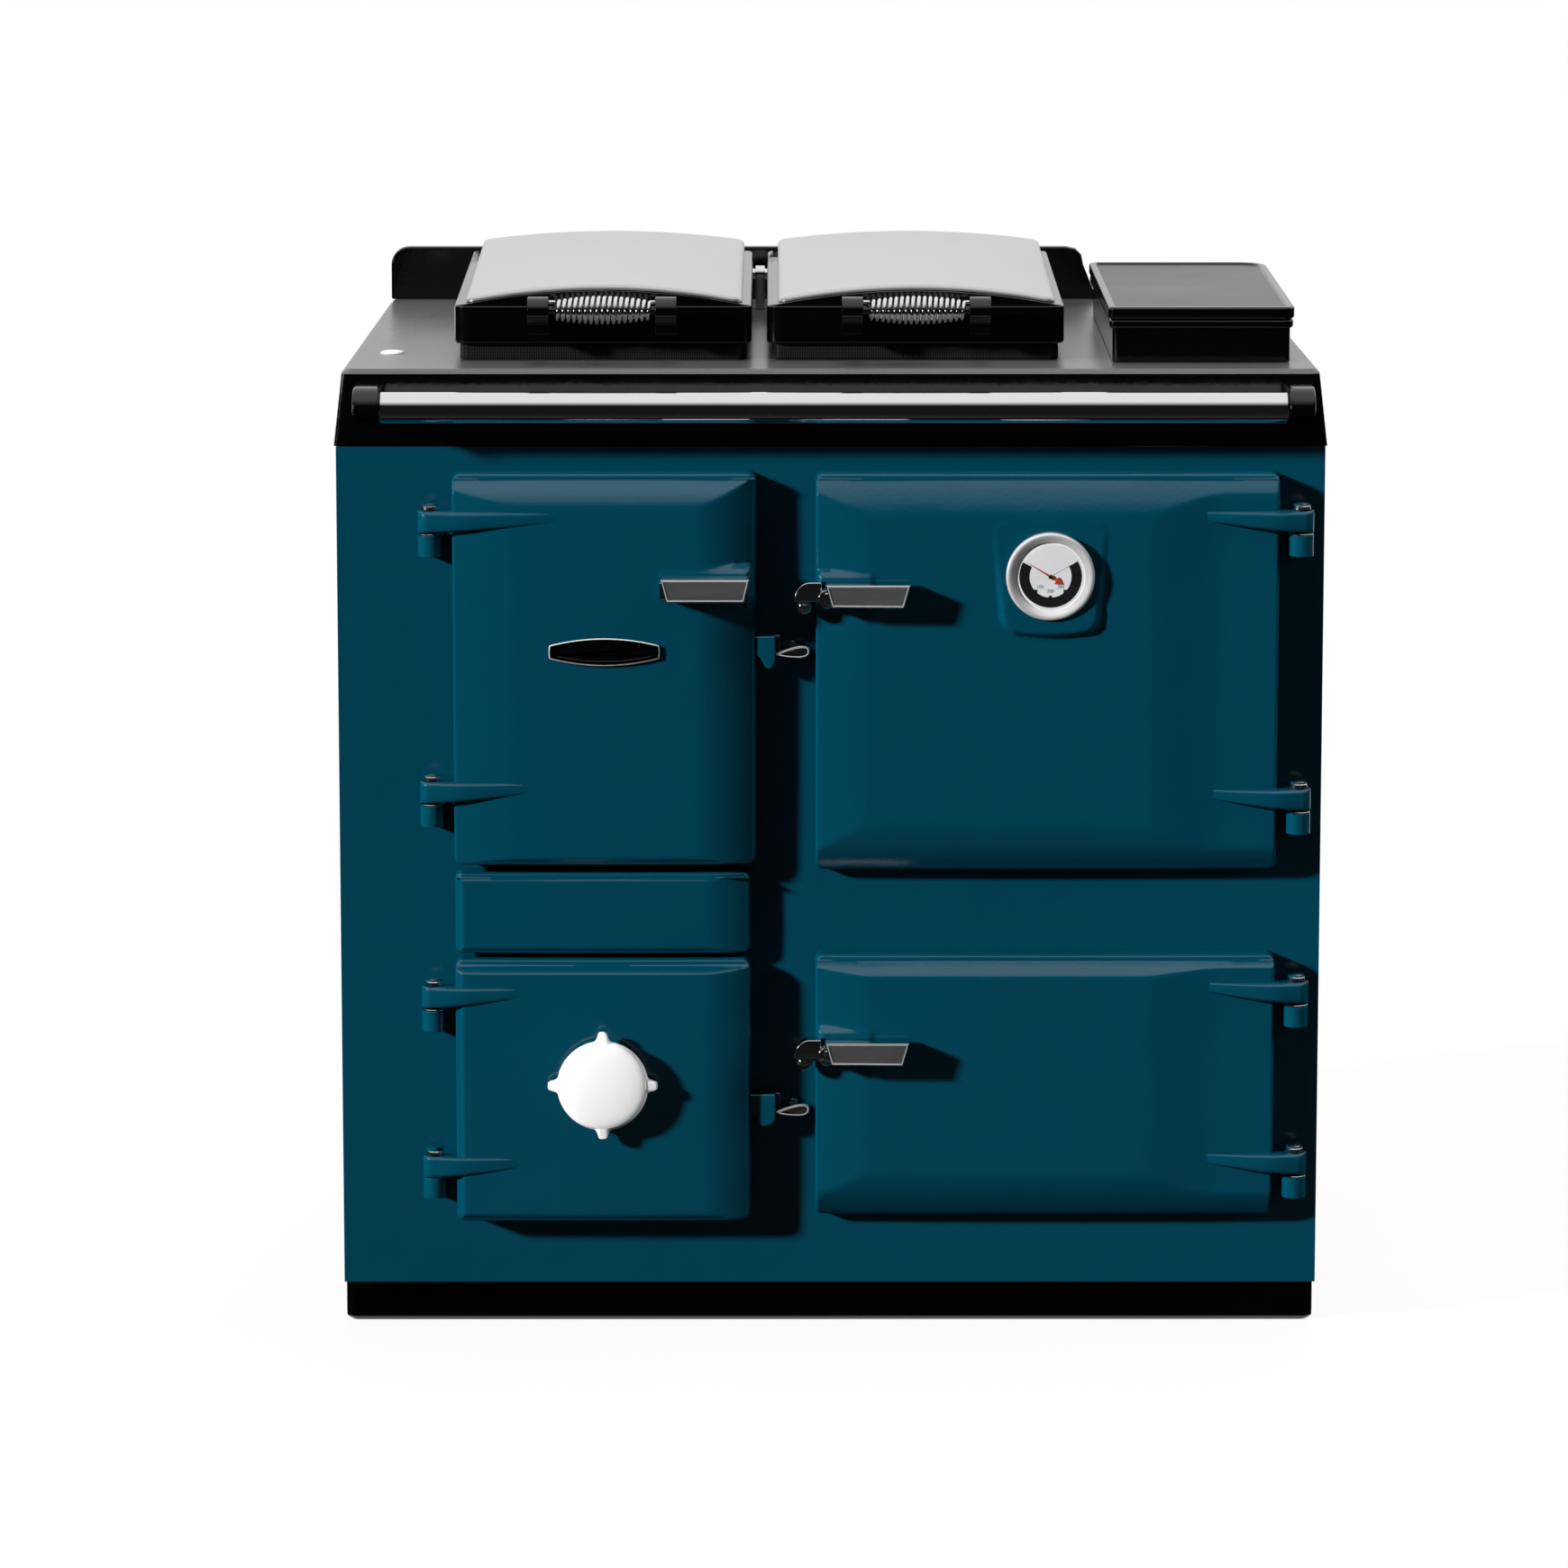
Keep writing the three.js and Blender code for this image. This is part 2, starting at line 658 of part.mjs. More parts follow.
function flueSpigot() {
  const y0 = bodyBack + SEAT;
  const bore = disc(spigotX, spigotZ, SPIGOT_RADIUS - SPIGOT_WALL);
  const flange = disc(spigotX, spigotZ, SPIGOT_RADIUS + 2 * SPIGOT_WALL);
  const tube = disc(spigotX, spigotZ, SPIGOT_RADIUS);
  const whole = join(
    prism(flange, "y", y0, y0 + SPIGOT_WALL),
    prism(tube, "y", y0, y0 + SPIGOT_LENGTH),
  );
  return whole.subtract(prism(bore, "y", y0 - 1, y0 + SPIGOT_LENGTH + 1));
}

// The hotplate under one lid: a ground block with a flange that rests on the top plate.
function hotplateEdges(lidX) {
  const inset = HOTPLATE_MARGIN;
  return [lidX + inset, lidX + LID_WIDTH - inset, LID_FRONT + inset, lidBack - inset];
}

function hotplate(lidX) {
  const [x0, x1, y0, y1] = hotplateEdges(lidX);
  const seat = topHeight + SEAT;
  const step = HOTPLATE_FLANGE;
  const flange = roundedRectangle(x0, x1, y0, y1, LID_CORNER);
  return join(
    box(x0 + step, x1 - step, y0 + step, y1 - step, seat - HOTPLATE_DEPTH, seat + 1),
    prism(flange, "z", seat, seat + HOTPLATE_PROUD, 3),
  );
}

function hotplateHole(lidX) {
  const [x0, x1, y0, y1] = hotplateEdges(lidX);
  const step = HOTPLATE_FLANGE - HOTPLATE_FIT;
  const z0 = topHeight - TOP_WALL - 1;
  return box(x0 + step, x1 - step, y0 + step, y1 - step, z0, topHeight + 1);
}

function topPlate() {
  const front = -SKIRT_OVERHANG;
  const topFront = front + SKIRT_FLARE;
  const edge = TOP_EDGE;
  const shoulder = topHeight - edge;
  const outer = skinRings([
    plateRing(-halfWidth, halfWidth, front, DEPTH, PLINTH_CORNER, skirtBottom),
    plateRing(-topHalf, topHalf, topFront, DEPTH, PLINTH_CORNER, shoulder),
    plateRing(-topHalf + edge, topHalf - edge, topFront + edge, DEPTH, PLINTH_CORNER, topHeight),
  ]);
  const inner = topHalf - TOP_WALL;
  const hollow = box(
    -inner,
    inner,
    topFront + TOP_WALL,
    DEPTH - TOP_WALL,
    skirtBottom - 1,
    topHeight - TOP_WALL,
  );
  const lip = FLUE_WALL + FLUE_COVER_SPIGOT;
  const flueHole = box(
    flueX + lip,
    flueX + FLUE_WIDTH - lip,
    FLUE_FRONT + lip,
    FLUE_FRONT + FLUE_LENGTH - lip,
    topHeight - TOP_WALL - 1,
    topHeight + 1,
  );
  return lidXs.reduce(
    (plate, lidX) => plate.subtract(hotplateHole(lidX)),
    outer.subtract(hollow).subtract(flueHole),
  );
}

function splashback() {
  const z0 = topHeight + SEAT;
  const z1 = z0 + SPLASH_HEIGHT;
  const r = SPLASH_RADIUS;
  const shape = new THREE.Shape();
  shape.moveTo(-topHalf, z0);
  shape.lineTo(splashRight + SPLASH_SLANT, z0);
  shape.lineTo(splashRight, z1 - r);
  shape.quadraticCurveTo(splashRight, z1, splashRight - r, z1);
  shape.absarc(-topHalf + r, z1 - r, r, Math.PI / 2, Math.PI);
  const y1 = DEPTH - SIDE_REVEAL;
  return prism(shape, "y", y1 - SPLASH_THICKNESS, y1, 3);
}

function flueBox() {
  const [x0, x1] = [flueX, flueX + FLUE_WIDTH];
  const [y0, y1] = [FLUE_FRONT, FLUE_FRONT + FLUE_LENGTH];
  const z0 = topHeight + SEAT;
  const z1 = topHeight + FLUE_HEIGHT - FLUE_COVER_THICKNESS;
  const w = FLUE_WALL;
  const outer = prism(roundedRectangle(x0, x1, y0, y1, w), "z", z0, z1, 3);
  addPiece("flue_box", outer.subtract(box(x0 + w, x1 - w, y0 + w, y1 - w, z0 - 1, z1 + 1)), blackEnamel);

  const lap = FLUE_COVER_LAP;
  const coverBottom = z1 + SEAT;
  const coverTop = coverBottom + FLUE_COVER_THICKNESS;
  const slab = roundedRectangle(x0 - lap, x1 + lap, y0 - lap, y1 + lap, w + lap);
  const rim = w + 1;
  const edge = FLUE_COVER_PANEL - lap;
  const panel = roundedRectangle(x0 + edge, x1 - edge, y0 + edge, y1 - edge, w);
  const cover = join(
    prism(slab, "z", coverBottom, coverTop, 3),
    box(x0 + rim, x1 - rim, y0 + rim, y1 - rim, coverBottom - FLUE_COVER_SPIGOT, coverTop - lap),
  );
  addPiece("flue_cover", cover.subtract(prism(panel, "z", coverTop - FLUE_COVER_SINK, coverTop + 1, 3)), blackEnamel);
}

// Where the sloping front of the skirt lies at a given height.
function skirtFrontAt(z) {
  const share = (z - skirtBottom) / (topHeight - TOP_EDGE - skirtBottom);
  return -SKIRT_OVERHANG + SKIRT_FLARE * share;
}

function towelRail() {
  const railLeft = -halfWidth + RAIL_LEFT_MARGIN;
  const railRight = halfWidth - RAIL_RIGHT_MARGIN;
  addPiece("towel_rail", prism(disc(-RAIL_STANDOFF, railZ, RAIL_RADIUS), "x", railLeft, railRight), chrome);
  const r = BRACKET_HEIGHT / 2;
  const points = [];
  for (let i = 0; i <= 8; i += 1) {
    const turn = Math.PI / 2 + (Math.PI * i) / 8;
    points.push([-RAIL_STANDOFF + r * Math.cos(turn), railZ + r * Math.sin(turn)]);
  }
  for (const z of [railZ - r, railZ + r]) points.push([skirtFrontAt(z) - SEAT, z]);
  const shape = polygon(points);
  const left = railLeft - SEAT;
  const right = railRight + SEAT;
  addPiece("rail_bracket_left", prism(shape, "x", left - BRACKET_WIDTH, left), blackEnamel);
  addPiece("rail_bracket_right", prism(shape, "x", right, right + BRACKET_WIDTH), blackEnamel);
}

// Lids. The casting's top is arched from side to side, and the chrome dome sits on that arch.
function lidArchAt(u) {
  return lidEdgeTop + LID_ARCH * (1 - u * u);
}

function domeTopAt(u, v) {
  return lidArchAt(u) + DOME_EDGE + DOME_RISE * (1 - u * u) * (1 - v * v);
}

function roundedFootprint(x0, x1, y0, y1, radius) {
  return prism(roundedRectangle(x0, x1, y0, y1, radius), "z", topHeight, topHeight + LID_LENGTH, 3);
}

function lidLug(x0) {
  const points = [];
  for (let i = 0; i <= 8; i += 1) {
    const turn = -Math.PI / 2 + (Math.PI * i) / 8;
    points.push([
      lidAxisY + LID_LUG_RADIUS * Math.cos(turn),
      lidAxisZ + LID_LUG_RADIUS * Math.sin(turn),
    ]);
  }
  const root = lidBack - LID_CORNER;
  points.push([root, lidAxisZ + LID_LUG_RADIUS]);
  points.push([root, lidAxisZ - LID_LUG_RADIUS]);
  return prism(polygon(points), "x", x0, x0 + LID_LUG_WIDTH);
}

function lid(side, lidX) {
  const x1 = lidX + LID_WIDTH;
  const flat = heightField(lidX, x1, LID_FRONT, lidBack, LID_GRID, () => lidBottom, lidArchAt);
  const lugs = [lidX + LID_LUG_INSET, x1 - LID_LUG_INSET - LID_LUG_WIDTH].map(lidLug);
  const bore = disc(lidAxisY, lidAxisZ, LID_ROD_RADIUS + PIN_FIT, 16);
  const body = flat.intersect(roundedFootprint(lidX, x1, LID_FRONT, lidBack, LID_CORNER));
  addPiece(`${side}_lid`, join(body, lugs).subtract(prism(bore, "x", lidX, x1)), blackEnamel);

  const m = DOME_MARGIN;
  const [d0, d1, e0, e1] = [lidX + m, x1 - m, LID_FRONT + m, lidBack - m];
  const seatAt = (u) => lidArchAt(u) + SEAT;
  const arch = heightField(lidX, x1, LID_FRONT, lidBack, LID_GRID, () => lidBottom, seatAt);
  const dome = heightField(d0, d1, e0, e1, LID_GRID, () => lidEdgeTop, domeTopAt);
  const outline = roundedFootprint(d0, d1, e0, e1, LID_CORNER - m / 2);
  addPiece(`${side}_lid_dome`, dome.intersect(outline).subtract(arch), chrome);

  const s = SEAL_INSET;
  const t = SEAL_INSET + SEAL_WIDTH;
  const seat = topHeight + SEAT;
  const ring = roundedRectangle(lidX + s, x1 - s, LID_FRONT + s, lidBack - s, LID_CORNER - s);
  const rope = prism(ring, "z", seat, seat + SEAL_HEIGHT, 3);
  const hole = box(lidX + t, x1 - t, LID_FRONT + t, lidBack - t, topHeight, lidBottom);
  addPiece(`${side}_lid_seal`, rope.subtract(hole), ropeSeal);
}

// The rod that both lids turn on, with its three posts on the top plate.
function lidHingeRod() {
  const [firstX, secondX] = lidXs;
  const rightEnd = secondX + LID_WIDTH;
  const rod = disc(lidAxisY, lidAxisZ, LID_ROD_RADIUS, 16);
  const inside = LID_LUG_INSET + LID_LUG_WIDTH + 2 * ROD_BRACKET_WIDTH;
  const middle = (firstX + LID_WIDTH + secondX) / 2;
  const postHalf = LID_ROD_RADIUS + ROD_BRACKET_WALL;
  const seat = topHeight + SEAT;
  const head = disc(lidAxisY, lidAxisZ, postHalf, 16);
  const posts = [firstX + inside, middle, rightEnd - inside].map((x) => {
    const [x0, x1] = [x - ROD_BRACKET_WIDTH / 2, x + ROD_BRACKET_WIDTH / 2];
    const column = box(x0, x1, lidAxisY - postHalf, lidAxisY + postHalf, seat, lidAxisZ);
    return join(column, prism(head, "x", x0, x1));
  });
  const ends = [firstX + LID_LUG_INSET / 2, rightEnd - LID_LUG_INSET / 2];
  return join(prism(rod, "x", ...ends), posts);
}

// The path of the wound grip: barrel-shaped turns whose ends run straight into the mounts.
function coilPath(centreX) {
  const y = LID_FRONT - COIL_STANDOFF;
  const half = COIL_LENGTH / 2 - SEAT;
  const wound = half - COIL_TAIL;
  const steps = COIL_TURNS * COIL_STEPS;
  const points = [];
  const place = (x, radius, turn) => {
    points.push(
      new THREE.Vector3(
        centreX + x,
        y + radius * Math.sin(turn),
        coilZ + radius * Math.cos(turn),
      ),
    );
  };
  place(-half, COIL_END_RADIUS, 0);
  place(-wound - COIL_TAIL * 0.1, COIL_END_RADIUS, 0);
  for (let i = 1; i < steps; i += 1) {
    const share = (2 * i) / steps - 1;
    const swell = 1 - share * share;
    const radius = COIL_END_RADIUS + (COIL_MID_RADIUS - COIL_END_RADIUS) * swell;
    place(wound * share, radius, (2 * Math.PI * i) / COIL_STEPS);
  }
  place(wound + COIL_TAIL * 0.1, COIL_END_RADIUS, 0);
  place(half, COIL_END_RADIUS, 0);
  return points;
}

// One unbroken tube along points, closed at both ends; its rings keep their roll by transport.
function tubeAlong(points, radius, sides) {
  const last = points.length - 1;
  let across = new THREE.Vector3(0, 0, 1);
  const rings = points.map((point, i) => {
    const before = points[Math.max(i - 1, 0)];
    const after = points[Math.min(i + 1, last)];
    const along = i === 1 || i === last - 1
      ? new THREE.Vector3(1, 0, 0)
      : after.clone().sub(before).normalize();
    across = across.clone().addScaledVector(along, -across.dot(along)).normalize();
    const other = along.clone().cross(across);
    return Array.from({ length: sides }, (_, k) => {
      const turn = (2 * Math.PI * k) / sides;
      return point
        .clone()
        .addScaledVector(across, radius * Math.cos(turn))
        .addScaledVector(other, radius * Math.sin(turn))
        .toArray();
    });
  });
  return skinRings(rings);
}

// The least clear distance between turns that lie at least half a turn apart along the wire.
function coilSelfGap(points) {
  let least = Infinity;
  for (let i = 0; i < points.length; i += 1) {
    for (let j = i + COIL_STEPS / 2; j < points.length; j += 1) {
      least = Math.min(least, points[i].distanceTo(points[j]));
    }
  }
  return least - 2 * COIL_WIRE_RADIUS;
}

// The grip: two black mounts with arms back to the lid, joined by a core rod inside the coil.
function lidHandle(side, lidX) {
  const centre = lidX + LID_WIDTH / 2;
  const y = LID_FRONT - COIL_STANDOFF;
  const half = COIL_LENGTH / 2;
  const core = prism(disc(y, coilZ, COIL_CORE_RADIUS, 12), "x", centre - half - 1, centre + half + 1);
  const mounts = [-1, 1].map((hand) => {
    const ends = [centre + hand * half, centre + hand * (half + COIL_MOUNT_WIDTH)];
    ends.sort((a, b) => a - b);
    const armHalf = COIL_MOUNT_ARM / 2;
    return join(
      prism(disc(y, coilZ, COIL_MOUNT_RADIUS, 16), "x", ...ends),
      box(...ends, y, LID_FRONT - SEAT, (topHeight + COIL_ARM_RISE) - armHalf, (topHeight + COIL_ARM_RISE) + armHalf),
    );
  });
  addPiece(`${side}_lid_handle`, join(core, mounts), blackEnamel);
  const path = coilPath(centre);
  addPiece(`${side}_lid_coil`, tubeAlong(path, COIL_WIRE_RADIUS, COIL_SIDES), chrome);
  console.log(`${side} coil: least gap to itself ${coilSelfGap(path).toFixed(2)} mm`);
}

function infillPanel() {
  const frame = {
    x0: leftX,
    x1: leftX + LEFT_DOOR_WIDTH,
    z0: infillZ,
    z1: infillZ + INFILL_HEIGHT,
  };
  const r = DOOR_CORNER / 2;
  return skinRings([
    panelRing(frame, evenInset(0), r, -SEAT),
    panelRing(frame, evenInset(0), r, -INFILL_PROUD + DOOR_RIM_ROUND),
    panelRing(frame, evenInset(DOOR_RIM_ROUND), r, -INFILL_PROUD),
  ]);
}

// A raised pad on a door's face.
function facePad(x0, x1, z0, z1, front, radius) {
  return prism(roundedRectangle(x0, x1, z0, z1, radius), "y", front, -DOOR_RIM, 3);
}

// The wedge-shaped ear on the free edge of a left-hand door, beside its turning catch.
function doorEar(frame, catchZ) {
  const x = frame.x1;
  const half = EAR_HEIGHT / 2;
  const shape = polygon([
    [x - DOOR_RIM_WIDTH, catchZ],
    [x + EAR_REACH * 0.6, catchZ - half],
    [x + EAR_REACH, catchZ - half + EAR_CHAMFER],
    [x + EAR_REACH, catchZ + half],
    [x - DOOR_RIM_WIDTH, catchZ + half],
  ]);
  return prism(shape, "y", -EAR_FRONT, -EAR_BACK);
}

function turningCatch(frame, catchZ) {
  const centre = frame.x1 + EAR_REACH + CATCH_RUNNING_GAP + CATCH_LENGTH / 2;
  const points = [];
  for (let i = 0; i < 16; i += 1) {
    const turn = (2 * Math.PI * i) / 16;
    points.push([
      centre + (CATCH_LENGTH / 2) * Math.cos(turn),
      catchZ + (CATCH_WIDTH / 2) * Math.sin(turn),
    ]);
  }
  const back = -CATCH_STANDOFF;
  return join(
    prism(polygon(points), "y", back - CATCH_THICKNESS, back),
    prism(disc(centre, catchZ, CATCH_STUD_RADIUS, 12), "y", back - 1, -SEAT),
  );
}

// The plate that shields the inside of a door, set into the door's opening.
function doorLiner(frame) {
  const lap = APERTURE_LAP + LINER_CLEARANCE;
  const outline = roundedRectangle(
    frame.x0 + lap,
    frame.x1 - lap,
    frame.z0 + lap,
    frame.z1 - lap,
    DOOR_CORNER,
  );
  return prism(outline, "y", -DOOR_GAP + SEAT, LINER_DEPTH, 3);
}

function fireboxDoor() {
  const frame = doors.firebox;
  const pad = facePad(
    handleX - HANDLE_PAD_MARGIN,
    handleX + HANDLE_LENGTH - HANDLE_PAD_MARGIN,
    handleZ - HANDLE_HEIGHT / 2 - HANDLE_PAD_MARGIN,
    handleZ + HANDLE_HEIGHT / 2 + 2 * HANDLE_PAD_MARGIN,
    -DOOR_PROUD,
    DOOR_CORNER / 2,
  );
  const casting = join(doorCasting(frame), pad, doorEar(frame, fireboxCatchZ));
  addPiece("firebox_door", casting, tealEnamel);
  addPiece("firebox_door_liner", doorLiner(frame), castIron);
  addPiece("firebox_catch", turningCatch(frame, fireboxCatchZ), chrome);

  const back = -DOOR_PROUD - SEAT;
  const barBack = back - HANDLE_STANDOFF;
  const [x0, x1] = [handleX, handleX + HANDLE_LENGTH];
  const [z0, z1] = [handleZ - HANDLE_HEIGHT / 2, handleZ + HANDLE_HEIGHT / 2];
  const slant = HANDLE_SLANT;
  const bar = polygon([[x0 + slant, z0], [x1 - slant, z0], [x1, z1], [x0, z1]]);
  const posts = [x0 + slant, x1 - slant - HANDLE_POST].map((x) =>
    box(x, x + HANDLE_POST, barBack - 1, back, z0 + slant, z1 - slant),
  );
  const handle = join(prism(bar, "y", barBack - HANDLE_THICKNESS, barBack), posts);
  addPiece("firebox_handle", handle, chrome);

  const centre = (frame.x0 + frame.x1) / 2;
  const half = BADGE_LENGTH / 2;
  const tall = BADGE_HEIGHT / 2;
  const badge = polygon([
    [centre - half, badgeZ],
    [centre - half + tall, badgeZ - tall],
    [centre + half - tall, badgeZ - tall],
    [centre + half, badgeZ],
    [centre + half - tall, badgeZ + tall],
    [centre - half + tall, badgeZ + tall],
  ]);
  addPiece("badge", prism(badge, "y", back - BADGE_THICKNESS, back), blackEnamel);
}

// The draught control: a stem through the door carries a hub, and the wheel turns on its axle.
function ashpitDoor() {
  const frame = doors.ashpit;
  const centre = (frame.x0 + frame.x1) / 2;
  const face = -DOOR_PROUD - SEAT;
  const stemHole = disc(centre, wheelZ, WHEEL_STEM_RADIUS + PIN_FIT, 16);
  let casting = join(doorCasting(frame), doorEar(frame, ashpitCatchZ));
  casting = casting.subtract(prism(stemHole, "y", -DOOR_PROUD - 1, 1));
  for (let i = 0; i < WHEEL_NUBS; i += 1) {
    const turn = (2 * Math.PI * (i + 0.5)) / WHEEL_NUBS;
    const port = disc(
      centre + AIR_PORT_CIRCLE * Math.cos(turn),
      wheelZ + AIR_PORT_CIRCLE * Math.sin(turn),
      AIR_PORT_RADIUS,
      10,
    );
    casting = casting.subtract(prism(port, "y", -DOOR_PROUD - 1, 1));
  }
  addPiece("ashpit_door", casting, tealEnamel);
  addPiece("ashpit_catch", turningCatch(frame, ashpitCatchZ), chrome);

  const stemBack = LINER_DEPTH / 2;
  const toFace = stemBack - face;
  const toWheel = toFace + WHEEL_HUB_LENGTH;
  const hub = [
    [0, 0],
    [WHEEL_STEM_RADIUS, 0],
    [WHEEL_STEM_RADIUS, toFace],
    [WHEEL_HUB_RADIUS, toFace],
    [WHEEL_HUB_RADIUS, toWheel],
    [WHEEL_AXLE_RADIUS, toWheel],
    [WHEEL_AXLE_RADIUS, toWheel + WHEEL_THICKNESS],
    [0, toWheel + WHEEL_THICKNESS],
  ];
  addPiece("spinwheel_hub", turned(hub, centre, stemBack, wheelZ, 20), sheetSteel);

  const bore = WHEEL_AXLE_RADIUS + PIN_FIT;
  const dome = [
    [bore, 0],
    [WHEEL_RADIUS, 0],
    [WHEEL_RADIUS, WHEEL_RIM],
    [WHEEL_RADIUS * 0.75, WHEEL_THICKNESS * 0.7],
    [WHEEL_RADIUS * 0.4, WHEEL_THICKNESS * 0.95],
    [bore, WHEEL_THICKNESS],
    [bore, 0],
  ];
  const wheelBack = face - WHEEL_HUB_LENGTH - SEAT;
  const nubs = [];
  for (let i = 0; i < WHEEL_NUBS; i += 1) {
    const turn = (2 * Math.PI * i) / WHEEL_NUBS;
    const reach = WHEEL_NUB_REACH - WHEEL_NUB_RADIUS;
    const x = centre + reach * Math.cos(turn);
    const z = wheelZ + reach * Math.sin(turn);
    nubs.push(prism(disc(x, z, WHEEL_NUB_RADIUS, 12), "y", wheelBack - WHEEL_NUB_THICKNESS, wheelBack));
  }
  addPiece("spinwheel", join(turned(dome, centre, wheelBack, wheelZ), nubs), chrome);
}

// A latch lever on the free edge of an oven door, and the ball stud that its hook reaches over.
function ovenLever(frame, leverZ) {
  const pivotX = frame.x0 + LEVER_PIVOT_INSET;
  const half = LEVER_HEIGHT / 2;
  const tip = LEVER_HEIGHT - LEVER_TIP_HEIGHT;
  const barEnd = pivotX + LEVER_BOSS_RADIUS + LEVER_LENGTH;
  const bar = polygon([
    [pivotX, leverZ - half],
    [barEnd - tip, leverZ - half],
    [barEnd, leverZ + half],
    [pivotX, leverZ + half],
  ]);
  const hookBottom = leverZ - HOOK_DROP;
  const hookX = pivotX - LEVER_BOSS_RADIUS - HOOK_REACH;
  const hook = polygon([
    [pivotX, hookBottom],
    [pivotX, hookBottom + HOOK_HEIGHT],
    [hookX + HOOK_REACH * 0.45, hookBottom + HOOK_HEIGHT],
    [hookX + HOOK_REACH * 0.12, hookBottom + HOOK_HEIGHT * 0.68],
    [hookX, hookBottom],
  ]);
  const bore = disc(pivotX, leverZ, LEVER_PIN_RADIUS + SEAT, 16);
  const lever = join(
    prism(bar, "y", leverFront, leverFront + LEVER_THICKNESS),
    prism(disc(pivotX, leverZ, LEVER_BOSS_RADIUS, 16), "y", leverFront, leverBack),
    prism(hook, "y", leverBack - HOOK_THICKNESS, leverBack),
  );
  return lever.subtract(prism(bore, "y", leverFront - 1, leverBack + 1));
}

function leverMount(frame, leverZ) {
  const pivotX = frame.x0 + LEVER_PIVOT_INSET;
  const half = LEVER_HEIGHT / 2;
  const x0 = frame.x0 + SIDE_REVEAL;
  const z0 = leverZ - half - LEVER_PAD_MARGIN;
  const z1 = leverZ + 2 * half + LEVER_PAD_MARGIN;
  const padFront = -DOOR_PROUD - LEVER_PAD;
  return join(
    facePad(x0, x0 + LEVER_PAD_LENGTH, z0, z1, padFront, DOOR_CORNER / 2),
    prism(disc(pivotX, leverZ, LEVER_PIN_RADIUS, 16), "y", leverFront, padFront + 1),
  );
}

function keepStud(frame, leverZ) {
  const x = frame.x0 + LEVER_PIVOT_INSET - LEVER_BOSS_RADIUS - HOOK_REACH / 2;
  const z = leverZ - HOOK_DROP - KEEP_CLEARANCE - KEEP_BALL_RADIUS;
  const stud = KEEP_STUD_RADIUS;
  const neck = Math.asin(stud / KEEP_BALL_RADIUS);
  const profile = [[0, 0], [2 * stud, 0], [2 * stud, KEEP_COLLAR], [stud, KEEP_COLLAR]];
  for (let i = 0; i <= 6; i += 1) {
    const turn = Math.PI - neck + ((neck - Math.PI) * i) / 6;
    const radius = i === 6 ? 0 : KEEP_BALL_RADIUS * Math.sin(turn);
    profile.push([radius, KEEP_PROUD + KEEP_BALL_RADIUS * Math.cos(turn)]);
  }
  return turned(profile, x, -SEAT, z, 12);
}

function ovenDoor(frame, leverZ, prefix, extras = []) {
  const casting = join(doorCasting(frame), leverMount(frame, leverZ), ...extras);
  addPiece(`${prefix}_door`, casting, tealEnamel);
  addPiece(`${prefix}_door_liner`, doorLiner(frame), sheetSteel);
  addPiece(`${prefix}_handle`, ovenLever(frame, leverZ), chrome);
  addPiece(`${prefix}_keep`, keepStud(frame, leverZ), chrome);
}

function gaugeBoss() {
  const half = GAUGE_BOSS_WIDTH / 2;
  const bottom = gaugeZ - GAUGE_BOSS_DROP;
  const front = -DOOR_PROUD - GAUGE_BOSS_RISE;
  return facePad(gaugeX - half, gaugeX + half, bottom, gaugeZ + half, front, half * 0.6);
}

function thermometer() {
  const back = -DOOR_PROUD - GAUGE_BOSS_RISE - SEAT;
  const inner = GAUGE_RADIUS - GAUGE_BEZEL;
  const spindleTop = GAUGE_FLOOR + 2.5 * POINTER_THICKNESS;
  const profile = [
    [0, 0],
    [GAUGE_RADIUS, 0],
    [GAUGE_RADIUS, GAUGE_DEPTH / 2],
    [GAUGE_RADIUS - GAUGE_BEZEL / 3, GAUGE_DEPTH],
    [inner, GAUGE_DEPTH],
    [inner, GAUGE_FLOOR],
    [GAUGE_SPINDLE_RADIUS, GAUGE_FLOOR],
    [GAUGE_SPINDLE_RADIUS, spindleTop],
    [0, spindleTop],
  ];
  addPiece("thermometer", turned(profile, gaugeX, back, gaugeZ, 40), chrome);

  const glassFront = back - GAUGE_DEPTH + GAUGE_GLASS_SETBACK;
  const glass = disc(gaugeX, gaugeZ, inner - SEAT, 40);
  addPiece("thermometer_glass", prism(glass, "y", glassFront, glassFront + GAUGE_GLASS), clearGlass);

  const turn = (POINTER_TURN * Math.PI) / 180;
  const at = (along, across) => [
    gaugeX + along * Math.cos(turn) - across * Math.sin(turn),
    gaugeZ + along * Math.sin(turn) + across * Math.cos(turn),
  ];
  const tail = POINTER_TAIL;
  const outline = polygon([
    at(POINTER_LENGTH, 0),
    at(0, POINTER_HALF),
    at(-tail * 0.3, POINTER_HALF * 0.7),
    at(-tail, POINTER_TAIL_HALF),
    at(-tail * 0.85, 0),
    at(-tail, -POINTER_TAIL_HALF),
    at(-tail * 0.3, -POINTER_HALF * 0.7),
    at(0, -POINTER_HALF),
  ]);
  const hubRadius = 2.5 * GAUGE_SPINDLE_RADIUS;
  const front = back - spindleTop + POINTER_THICKNESS / 2;
  const slab = (shape) => prism(shape, "y", front, front + POINTER_THICKNESS);
  const pointer = join(slab(outline), slab(disc(gaugeX, gaugeZ, hubRadius, 12)));
  const bore = disc(gaugeX, gaugeZ, GAUGE_SPINDLE_RADIUS + SEAT, 12);
  addPiece("thermometer_pointer", pointer.subtract(prism(bore, "y", front - 1, back)), pointerRed);
}

